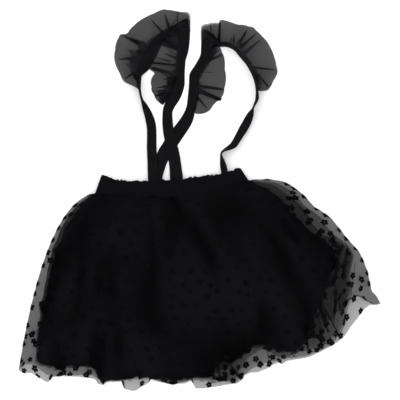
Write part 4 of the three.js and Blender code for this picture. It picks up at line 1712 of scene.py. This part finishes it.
RIGHT_BACK = Lay("strap_right_back", Side.RIGHT, [
    (-64, 22, UNDER_BACK, 0, 16), (-64.5, 34, UNDER_BACK, 0, 17), (-60, 53, 1.5, 0, 18.5),
    (-51.5, 73, LIE, 0, 20), (-39.5, 91, LIE, 0, 20), (-28, 107, LIE, 0, 19), (-18.5, 122, LIE, 0, 17.5),
    (-13, 140, LIE, 0, 14), (-11, 160, LIE, 0, 13), (-10, 176, LIE, 0, 12), (-9, 187, LIE, 0, 13),
    (0, 201, LIE, 0, 13), (7, 216, LIE, 0, 13), (9, 230, LIE, 0, 14), (9.5, 244, LIE, 0, 15),
])


class Section(NamedTuple):
    """A tape's sections: their middles, the directions across and through the tape, its widths."""

    middle: np.ndarray
    across: np.ndarray
    through: np.ndarray
    width: np.ndarray


def sections(lay: Lay, place: np.ndarray) -> Section:
    """Cuts a tape across.

    Args:
        lay: how the tape lies.
        place: places from 0 to 1 along its rows.

    Returns:
        Its sections there.
    """
    step = 0.002
    values = along(lay.rows, place)
    before, after = along(lay.rows, place - step), along(lay.rows, place + step)
    heading = np.arctan2(after[:, 1] - before[:, 1], after[:, 0] - before[:, 0])
    side = lay.side.value
    outward = np.stack([-np.sin(heading) * side, np.cos(heading) * side, np.zeros_like(heading)], axis=1)
    roll = np.radians(values[:, 3, None])
    up = np.array([[0.0, 0.0, 1.0]])
    across = outward * np.cos(roll) + up * np.sin(roll)
    through = -outward * np.sin(roll) + up * np.cos(roll)
    return Section(values[:, :3], across, through, values[:, 4])


@dataclass
class Strap:
    """One half of a shoulder strap: ribbed elastic tape, with the stitches that hold its ruffle.

    sewn is the tape's rows between which the stitches run, inset how far they lie from its edge, and
    curl and ripple how far its section is hollow and uneven.
    """

    lay: Lay
    seed: int
    sewn: tuple[float, float]
    steps: int = 260
    around: int = 22
    thick: float = 1.0
    curl: float = 0.35
    ripple: float = 0.15
    waver: float = 0.035
    stitch_pitch: float = 2.9
    inset: float = 1.6
    usual_run: float = 300.0  # rough length of a tape, which sets how many stitches it takes
    cut_width: float = 0.016

    def build(self) -> None:
        part = sections(self.lay, np.linspace(0.0, 1.0, self.steps))
        run = run_along(part.middle)
        angle = np.linspace(0.0, 2.0 * np.pi, self.around, endpoint=False)
        c, s = np.cos(angle), np.sin(angle)
        wide = (np.sign(c) * np.abs(c) ** 0.45)[None, :]
        deep = (np.sign(s) * np.abs(s) ** 0.6)[None, :]
        at = run[:, None] + 0.0 * wide
        half = part.width[:, None] / 2.0 * (1.0 + self.waver * Unevenness(self.seed, 9.0)(run)[:, None])
        ripple = self.ripple * Unevenness(self.seed + 1, 7.0)(at, 12.0 * wide)
        cup = self.curl * (wide ** 2 - 0.4) * Unevenness(self.seed + 2, 40.0)(run)[:, None]
        offset = self.thick / 2.0 * deep + ripple + cup
        rings = (
            part.middle[:, None]
            + part.across[:, None] * (half * wide)[..., None]
            + part.through[:, None] * offset[..., None]
        )
        rings[..., 2] = np.maximum(rings[..., 2], FLOOR_CLEARANCE)
        places = np.dstack([self.cut_width / MM / 2 * wide + 0.0 * at, at])
        made = tube_mesh(self.lay.node + "_tape", rings, RIBBED_TAPE.material(), places)
        place_piece(made, self.lay.node)
        line = self.stitches()

    def stitches(self) -> bpy.types.Object:
        """Sews the seam that holds the ruffle, near the tape's outer edge.

        Returns:
            The object.
        """
        start, end = self.sewn
        last = len(self.lay.rows) - 1
        count = int(abs(end - start) / last * self.usual_run / self.stitch_pitch)
        part = sections(self.lay, np.linspace(start / last, end / last, count))
        out, up = part.width[:, None] / 2 - self.inset, self.thick / 2 + 0.12
        at = part.middle + part.across * out + part.through * up
        run = np.gradient(part.middle[:, :2], axis=0)
        run /= np.linalg.norm(run, axis=1, keepdims=True)
        rows = [(*spot, *way) for spot, way in zip(at, run)]
        return threads(self.lay.node + "_stitches", rows, thick=0.18)


# ---------------------------------------------------------------------------------------------
# The ruffles
# ---------------------------------------------------------------------------------------------


@dataclass
class Ruffle:
    """A strip of net folded along a tape's outer edge and gathered there, its two leaves spread out.

    Rows: the tape's row beside it, the place of its upper leaf's edge, the height there, how far out
    the close gathers reach, as a share, and how far the lower leaf's edge falls short of the upper
    one's. creases are the larger folds, from the tape outwards. puff and apart say how far the
    leaves arch and part, gather_laps how far the close folds double over, and edge_turn how wide the
    upper leaf's cut edge is turned under. tucks gives each layer of cloth drawn in between the leaves
    its pitch, and its reach as a share of the gathers'.
    """

    node: str
    lay: Lay
    rows: list[tuple[float, ...]]
    creases: list[Pleat]
    cut: tuple[float, float]
    seed: int
    rests_on: list[str]
    columns: int = 560
    deep: int = 18
    tuck_rows: int = 7
    puff: float = 4.2
    apart: float = 3.2
    gather_pitch: float = 4.0
    gather_laps: float = 1.5
    far_share: float = 0.1
    edge_turn: float = 1.1
    tucks: tuple[tuple[float, float], ...] = ((12.0, 1.05), (7.0, 0.72), (9.0, 0.5))

    def base(self, short: bool) -> tuple[np.ndarray, np.ndarray]:
        """Lays a leaf out flat.

        Args:
            short: whether it is the lower leaf, which falls short of the upper one.

        Returns:
            Its plan, seam to outer edge, and the heights of its ends with the gathers' reach.
        """
        place = np.linspace(0.0, 1.0, self.columns)
        table = along(self.rows, place)
        on, outer = table[:, 0], table[:, 1:3]
        part = sections(self.lay, on / (len(self.lay.rows) - 1))
        overlap = 0.4  # how far the seam lies in from the tape's edge
        start = part.middle + part.across * (part.width / 2.0 - overlap)[:, None]
        out = np.linspace(0.0, 1.0, self.deep)[:, None, None]
        if short:
            size = np.linalg.norm(outer - start[:, :2], axis=1)
            keeps = 1.0 - np.clip(table[:, 5] / np.maximum(size, 1.0), 0.0, 0.5)
            outer = start[:, :2] + (outer - start[:, :2]) * keeps[:, None]
        plan = start[None, :, :2] * (1.0 - out) + outer[None] * out
        height = np.stack([start[:, 2], table[:, 3], table[:, 4]], axis=1)
        return plan, height

    def knots(self, plan: np.ndarray) -> np.ndarray:
        """Finds where the larger folds pinch the ruffle.

        Args:
            plan: a leaf's plan.

        Returns:
            Their shares along it, in order, with its two ends.
        """
        middle = plan[self.deep // 2]
        found = [0.0, 1.0]
        for crease in self.creases:
            centre = np.array([(crease.start.x + crease.end.x) / 2, (crease.start.y + crease.end.y) / 2])
            found.append(float(((middle - centre) ** 2).sum(1).argmin()) / (self.columns - 1))
        return np.array(sorted(found))

    def gathers(self, plan: np.ndarray) -> list[Pleat]:
        """Draws the close folds beside the tape: many short ones, and a few that run further out.

        Args:
            plan: a leaf's plan.

        Returns:
            The folds.
        """
        rng = np.random.default_rng(self.seed)
        seam = plan[0]
        run = run_along(seam)
        margin, least = 1.0, 3.0  # room at the ruffle's ends, and a fold's least length
        at, found = margin, []
        while at < run[-1] - margin:
            column = int(np.interp(at, run, np.arange(self.columns)))
            far = rng.uniform() < self.far_share
            out = rng.uniform(0.45, 0.8) if far else rng.uniform(0.12, 0.5)
            lean = int(np.clip(column + rng.normal(0.0, 6.0), 0, self.columns - 1))
            stop = seam[column] * (1.0 - out) + plan[-1, lean] * out
            if np.linalg.norm(stop - seam[column]) > least:
                laps = self.gather_laps * (rng.uniform(1.2, 1.8) if far else rng.uniform(0.5, 1.1))
                ends = Point(*seam[column]), Point(*stop)
                found.append(Pleat(*ends, laps, keeps=0.05, wide=1.2, lift=0.3, tail=2.0, fades=1.2))
            at += self.gather_pitch * rng.uniform(0.5, 1.5)
        return found

    def tuck(self, plan: np.ndarray, height: np.ndarray, layer: int) -> np.ndarray:
        """Draws cloth in between the leaves: dense beside the tape, with pointed folds outwards.

        Args:
            plan: the leaf's plan.
            height: the heights of its ends and the gathers' reach.
            layer: which of the layers of tucks it is.

        Returns:
            Its points, seam to outer edge.
        """
        pitch, far = self.tucks[layer]
        seed = self.seed + 21 + 10 * layer
        seam = plan[0]
        run = run_along(seam)
        points = 1.0 - Ridges(seed, run[-1], pitch, 0.6)(run)
        uneven = 1.0 + 0.3 * Unevenness(seed + 1, 16.0)(run)
        out = np.clip(height[:, 2] * far * uneven * (0.75 + 0.6 * points ** 1.6), 0.02, 0.97)
        share = np.linspace(0.0, 1.0, self.tuck_rows)[:, None]
        at = share * out[None]
        flat = seam[None] * (1.0 - at[..., None]) + plan[-1][None] * at[..., None]
        z = height[None, :, 0] * (1.0 - at) + height[None, :, 1] * at
        ripple = Unevenness(seed + 2, 4.0)(flat[..., 0], flat[..., 1])
        return np.dstack([flat, z + 0.7 * ripple * share])

    def leaf(self, plan: np.ndarray, height: np.ndarray, upper: bool) -> np.ndarray:
        """Arches one of the two leaves, before its folds.

        Args:
            plan: its plan.
            height: the heights of its ends and the gathers' reach.
            upper: whether it is the upper leaf.

        Returns:
            Its points, seam to outer edge.
        """
        place = np.linspace(0.0, 1.0, self.columns)[None, :]
        out = np.linspace(0.0, 1.0, self.deep)[:, None]
        knots = self.knots(plan)
        index = np.clip(np.searchsorted(knots, place[0], side="right") - 1, 0, len(knots) - 2)
        share = (place[0] - knots[index]) / np.maximum(knots[index + 1] - knots[index], 1e-6)
        swell = np.clip((knots[index + 1] - knots[index]) * 8.0, 0.35, 1.0)
        arch = (np.sin(np.pi * np.clip(share, 0.0, 1.0)) ** 0.7 * swell)[None, :]
        body = np.sin(np.pi * np.clip(out, 0.0, 1.0) ** 0.8) ** 0.75
        seed = self.seed + (5 if upper else 15)
        soft = Unevenness(seed, 14.0)(plan[..., 0], plan[..., 1])
        fine = Unevenness(seed + 1, 6.0)(plan[..., 0], plan[..., 1])
        z = height[None, :, 0] * (1.0 - out) + height[None, :, 1] * out
        lift = body * (self.apart / 2.0 + self.puff * arch + 0.8 * soft + 0.35 * fine)
        z = z + lift if upper else z - 0.75 * lift
        round_edge = ((arch - 0.55) * 1.7 + (0.0 if upper else 0.4 * fine)) * out ** 3
        ray = plan - plan[0][None]
        size = np.maximum(np.linalg.norm(ray, axis=-1, keepdims=True), 1e-6)
        moved = plan + ray / size * round_edge[..., None]
        return np.dstack([moved, z])

    def edge_strip(self, leaf: np.ndarray, plan: np.ndarray) -> np.ndarray:
        """Turns the upper leaf's cut edge under, unevenly wide.

        Args:
            leaf: the leaf's points, seam to outer edge.
            plan: its plan before its folds.

        Returns:
            The strip's points, its fold first.
        """
        fold, below, drop = leaf[-1], 0.05, 0.1
        uneven = Unevenness(self.seed + 51, 11.0)(plan[-1, :, 0], plan[-1, :, 1])
        wide = self.edge_turn * (1.0 + 0.6 * uneven)
        inward = leaf[-2] - fold
        inner = fold + inward * (wide / np.maximum(np.linalg.norm(inward[:, :2], axis=1), 1e-6))[:, None]
        inner[:, 2] = fold[:, 2] - drop
        return np.stack([fold - [0.0, 0.0, below], inner])

    def build(self) -> None:
        plan, height = self.base(short=False)
        folds = self.creases + self.gathers(plan)
        leaves = []
        for upper in (True, False):
            points = self.leaf(self.base(short=not upper)[0], height, upper)
            base = points.copy()
            for fold in folds:
                fold.move(points, base)
            leaves.append(points)
        over, under = leaves
        layers = [np.concatenate([over[::-1], under[1:]]), self.edge_strip(over, plan)]
        layers += [self.tuck(plan, height, i) for i in range(len(self.tucks))]
        width, length = self.cut
        points, faces, places, count = [], [], [], 0
        for layer in layers:
            layer[..., 2] = np.maximum(layer[..., 2], FLOOR_CLEARANCE)
            rows = len(layer)
            u = np.broadcast_to(np.linspace(0.0, width / MM, self.columns)[None, :], layer.shape[:2])
            v = np.broadcast_to(np.linspace(0.0, length / MM, rows)[:, None], layer.shape[:2])
            points.append(layer.reshape(-1, 3))
            places.append(np.dstack([u, v]).reshape(-1, 2))
            faces.append(grid_faces(rows, self.columns, start=count))
            count += rows * self.columns
        made = make_object(
            self.node + "_net", np.concatenate(points), np.concatenate(faces), ORGANZA.material(),
            np.concatenate(places),
        )
        place_piece(made, self.node)


def creases(rows: list[tuple[float, ...]]) -> list[Pleat]:
    """Makes a ruffle's larger folds.

    Args:
        rows: start x and y at the tape, end x and y, laps and keeps of each.

    Returns:
        The folds.
    """
    return [
        Pleat(Point(*row[:2]), Point(*row[2:4]), 1.9 * row[4], row[5], wide=2.1, lift=0.9, tail=3.5)
        for row in rows
    ]


def ruffles() -> list[Ruffle]:
    """Lists the ruffles, with the back ones first.

    Returns:
        The four ruffles.
    """
    return [
        Ruffle("ruffle_left_back", LEFT_BACK, [
            (6.2, -56, 142, 1, 0.95, 0.5), (6.7, -65.5, 151.5, 1, 0.8, 0.5),
            (7.4, -72, 164, 1, 0.6, 0.5), (8.0, -73, 174, 1, 0.48, 0.5), (8.5, -71.5, 183, 1, 0.38, 1),
            (8.8, -68.5, 190.5, 1, 0.26, 0.5), (9.1, -75, 195.5, 1, 0.12, 0.5),
            (9.5, -76, 202, 1, 0.1, 0.5), (10.2, -77, 213, 1, 0.1, 1), (10.9, -69, 227, 1, 0.2, 1),
            (11.3, -63, 235, 1, 1.4, 1), (11.7, -56, 242, 1, 1.8, 1), (12.4, -44, 249, 1.2, 1.8, 1),
            (12.9, -30, 257, 1.5, 1.6, 1), (13.0, -18, 275, 1.5, 1.2, 1),
        ], creases([
            (-34, 201, -72, 206, 2.0, 0.9), (-35.6, 187, -73, 198, 3.6, 0.9),
            (-29.6, 209, -51.5, 219, 3.4, 0.5), (-29.6, 218, -34.6, 229, 3.0, 0.4),
            (-41, 218, -51.5, 235, 1.6, 0.5), (-44, 207, -66, 214, 1.6, 0.4),
            (-42, 181, -62, 193, 1.8, 0.3), (-48, 170, -66, 168, 2.4, 0.3),
            (-53, 161, -68, 155, 2.6, 0.5),
        ]), cut=(0.22, 0.065), seed=210, rests_on=["strap_left_back"]),
        Ruffle("ruffle_right_back", RIGHT_BACK, [
            (6.6, -5, 129, 1, 0.2, 0.5), (6.9, 4, 130, 1, 0.12, 0.5), (7.2, 15, 135, 1, 0.1, 0.5),
            (7.6, 25.5, 148, 1.3, 0.08, 0.5), (7.8, 31.5, 149.5, 1.3, 0.08, 0.5),
            (8.3, 35, 158.5, 1.3, 0.08, 0.5), (8.7, 37.5, 168, 1.3, 0.1, 0.5),
            (9.6, 38.8, 186, 1.3, 0.1, 0.5), (10.4, 37.5, 202, 1.3, 0.18, 0.5),
            (11.1, 35.6, 217, 1.3, 0.3, 1), (11.9, 31, 228, 1.3, 0.9, 1), (12.6, 26, 236, 1.5, 0.95, 1),
            (13.4, 20, 246, 1.5, 0.95, 1), (14.0, 10, 255, 1.5, 0.95, 1), (14.0, 3, 252, 1.5, 0.95, 1),
            (14.0, 3, 240, 1.5, 0.95, 1),
        ], creases([
            (8.5, 206.5, 34, 218.5, 2.8, 0.7), (-2.5, 192, 24, 191, 1.6, 0.2),
            (-4, 171.5, 37, 165.5, 3.2, 0.7), (-3, 164.5, 31, 150.5, 4.6, 0.8),
            (-4, 154.5, 10.5, 138, 3.6, 0.4),
        ]), cut=(0.22, 0.065), seed=310, rests_on=["strap_right_back"]),
        Ruffle("ruffle_left_front", LEFT_FRONT, [
            (7.8, -96, 169.5, 1, 0.36, 0.5), (8.0, -105, 173, 1, 0.24, 0.5),
            (8.4, -114, 178.5, 1, 0.2, 1), (8.7, -121, 191, 1, 0.24, 1),
            (9.0, -126.5, 206, 1, 0.34, 0.3), (9.4, -128, 220, 1, 0.4, 0.3),
            (9.8, -125.5, 234, 1, 0.4, 0.3), (10.1, -119.5, 248, 1.6, 0.34, 0.3),
            (10.4, -111, 248.5, 1, 0.28, 0.3), (10.8, -103.5, 256.5, 1, 0.2, 0.3),
            (11.4, -83, 273, 1, 0.1, 0.3), (12.2, -54, 286.3, 1, 0.06, 0.3),
            (12.8, -35, 283, 1, 0.06, 0.5), (13.4, -22.5, 282, 1.3, 0.08, 2),
            (13.9, -15.5, 278, 1.6, 0.3, 2), (14.0, -14.5, 266, 2, 0.9, 1),
            (14.0, -14.5, 252, 2, 0.9, 1),
        ], creases([
            (-84, 232, -117, 247, 7.5, 0.3), (-86, 221, -111, 225, 5.5, 0.15),
            (-90, 212, -122, 210.5, 6.5, 0.2), (-95, 192, -112, 181, 5.0, 0.3),
            (-54, 249, -73, 270, 3.6, 0.3), (-46, 258, -53, 280, 3.8, 0.3),
            (-34, 266, -32.6, 282.5, 1.2, 0.6),
        ]), cut=(0.3, 0.07), seed=110, rests_on=["strap_left_front"]),
        Ruffle("ruffle_right_front", RIGHT_FRONT, [
            (10.8, 90.5, 163, 1.2, 0.3, 0.5), (11.0, 101, 165, 1.3, 0.3, 0.5),
            (11.4, 108.5, 174, 1.3, 0.24, 0.5), (11.9, 115.5, 189, 1.3, 0.18, 0.5),
            (12.3, 116.3, 199, 1.3, 0.2, 1), (12.7, 111.5, 214, 1.3, 0.2, 0.5),
            (13.2, 105, 229.5, 1.3, 0.18, 1), (13.7, 97, 242.5, 1.3, 0.14, 0.5),
            (14.2, 87.5, 252, 1.3, 0.1, 1), (14.7, 80, 259, 1.3, 0.1, 1.5),
            (15.2, 68.5, 262, 1.3, 0.1, 0.5), (15.8, 53, 264.5, 1.3, 0.08, 0.5),
            (16.5, 33, 269.3, 2.4, 0.1, 0.5), (16.7, 29, 266, 2.4, 0.1, 1), (17.2, 15, 265, 2, 0.3, 2),
            (17.6, 6.5, 262.5, 2, 0.6, 2), (17.9, 2.5, 257, 2.2, 0.9, 1), (18.0, 2, 238, 3, 0.95, 1),
        ], creases([
            (28.5, 234.5, 30.5, 268, 2.8, 0.7), (16.6, 245, 16.6, 262.5, 1.4, 0.6),
            (50.5, 234, 52, 250, 2.4, 0.2), (57, 231, 70.9, 255, 4.0, 0.3),
            (57, 225, 85.5, 250, 4.0, 0.3), (64, 217, 91, 240.5, 4.0, 0.3),
            (81, 198, 113, 194.8, 3.0, 0.3), (87, 186, 103, 169.5, 4.2, 0.5),
        ]), cut=(0.3, 0.07), seed=410, rests_on=["strap_right_front"]),
    ]


# ---------------------------------------------------------------------------------------------
# Camera, light and floor
# ---------------------------------------------------------------------------------------------


@dataclass
class Studio:
    """A camera straight above, soft light all round and a plain pale floor.

    Its sizes are in metres, apart from the camera's sensor.
    """

    away: float = 2.4
    across: float = 0.6
    aside: float = 0.0004
    sensor: float = 36.0
    floor_size: float = 14.0
    sky: float = 1.26

    def camera(self) -> None:
        """Looks straight down on the middle of the garment, with the shoulders up."""
        data = bpy.data.cameras.new("camera")
        data.sensor_width = self.sensor
        data.lens = self.sensor * self.away / self.across
        data.clip_start, data.clip_end = 0.1, 50.0
        made = bpy.data.objects.new("camera", data)
        made.location = (self.aside, 0.0, self.away)
        bpy.context.scene.collection.objects.link(made)
        bpy.context.scene.camera = made

    def floor(self) -> None:
        """A plain white floor."""
        nodes = Nodes("floor")
        inputs = {"Vector": nodes.body_place(), "Scale": 300.0, "Detail": 2.0}
        paper = nodes.add("ShaderNodeTexNoise", inputs)
        shade = nodes.shades(paper.outputs["Fac"], (0.86, 0.86, 0.86), (0.88, 0.88, 0.88))
        nodes.feed(nodes.shader.inputs["Base Color"], shade)
        nodes.shader.inputs["Roughness"].default_value = 1.0
        nodes.shader.inputs["Specular IOR Level"].default_value = 0.0
        half = self.floor_size / 2 / MM
        corners = np.array([(-half, -half, 0), (half, -half, 0), (half, half, 0), (-half, half, 0)])
        make_object("floor", corners, [[0, 1, 2, 3]], nodes.material)

    def lights(self) -> None:
        """A broad soft light from the upper left, a weaker one from the right, and an even sky."""
        for name, place, size, power in (
            ("key", (-1.3, 1.3, 2.4), 3.4, 24.0),
            ("fill", (1.8, -0.6, 2.2), 3.4, 7.0),
        ):
            data = bpy.data.lights.new(name, "AREA")
            data.shape, data.size, data.energy = "DISK", size, power
            made = bpy.data.objects.new(name, data)
            made.location = place
            made.rotation_euler = (-Vector(place)).to_track_quat("-Z", "Y").to_euler()
            bpy.context.scene.collection.objects.link(made)
        world = bpy.data.worlds.new("sky")
        world.use_nodes = True
        background = world.node_tree.nodes["Background"]
        background.inputs["Color"].default_value = (1.0, 1.0, 1.0, 1.0)
        background.inputs["Strength"].default_value = self.sky
        scene = bpy.context.scene
        scene.world = world
        scene.view_settings.view_transform = "Standard"
        scene.cycles.transparent_max_bounces = 40

    def build(self) -> None:
        """Builds the whole studio."""
        self.camera()
        self.floor()
        self.lights()


def main() -> None:
    """Builds every piece around the frame."""
    logging.basicConfig(level=logging.INFO, format="%(name)s: %(message)s")
    Studio().build()
    Skirt().build()
    Waistband().build()
    for lay, seed, sewn in (
        (RIGHT_BACK, 61, (6.6, 11.9)),
        (LEFT_BACK, 62, (6.2, 11.8)),
        (LEFT_FRONT, 63, (7.8, 13.9)),
        (RIGHT_FRONT, 64, (10.8, 17.9)),
    ):
        Strap(lay, seed, sewn).build()
    for ruffle in ruffles():
        ruffle.build()


if __name__ == "__main__":
    main()
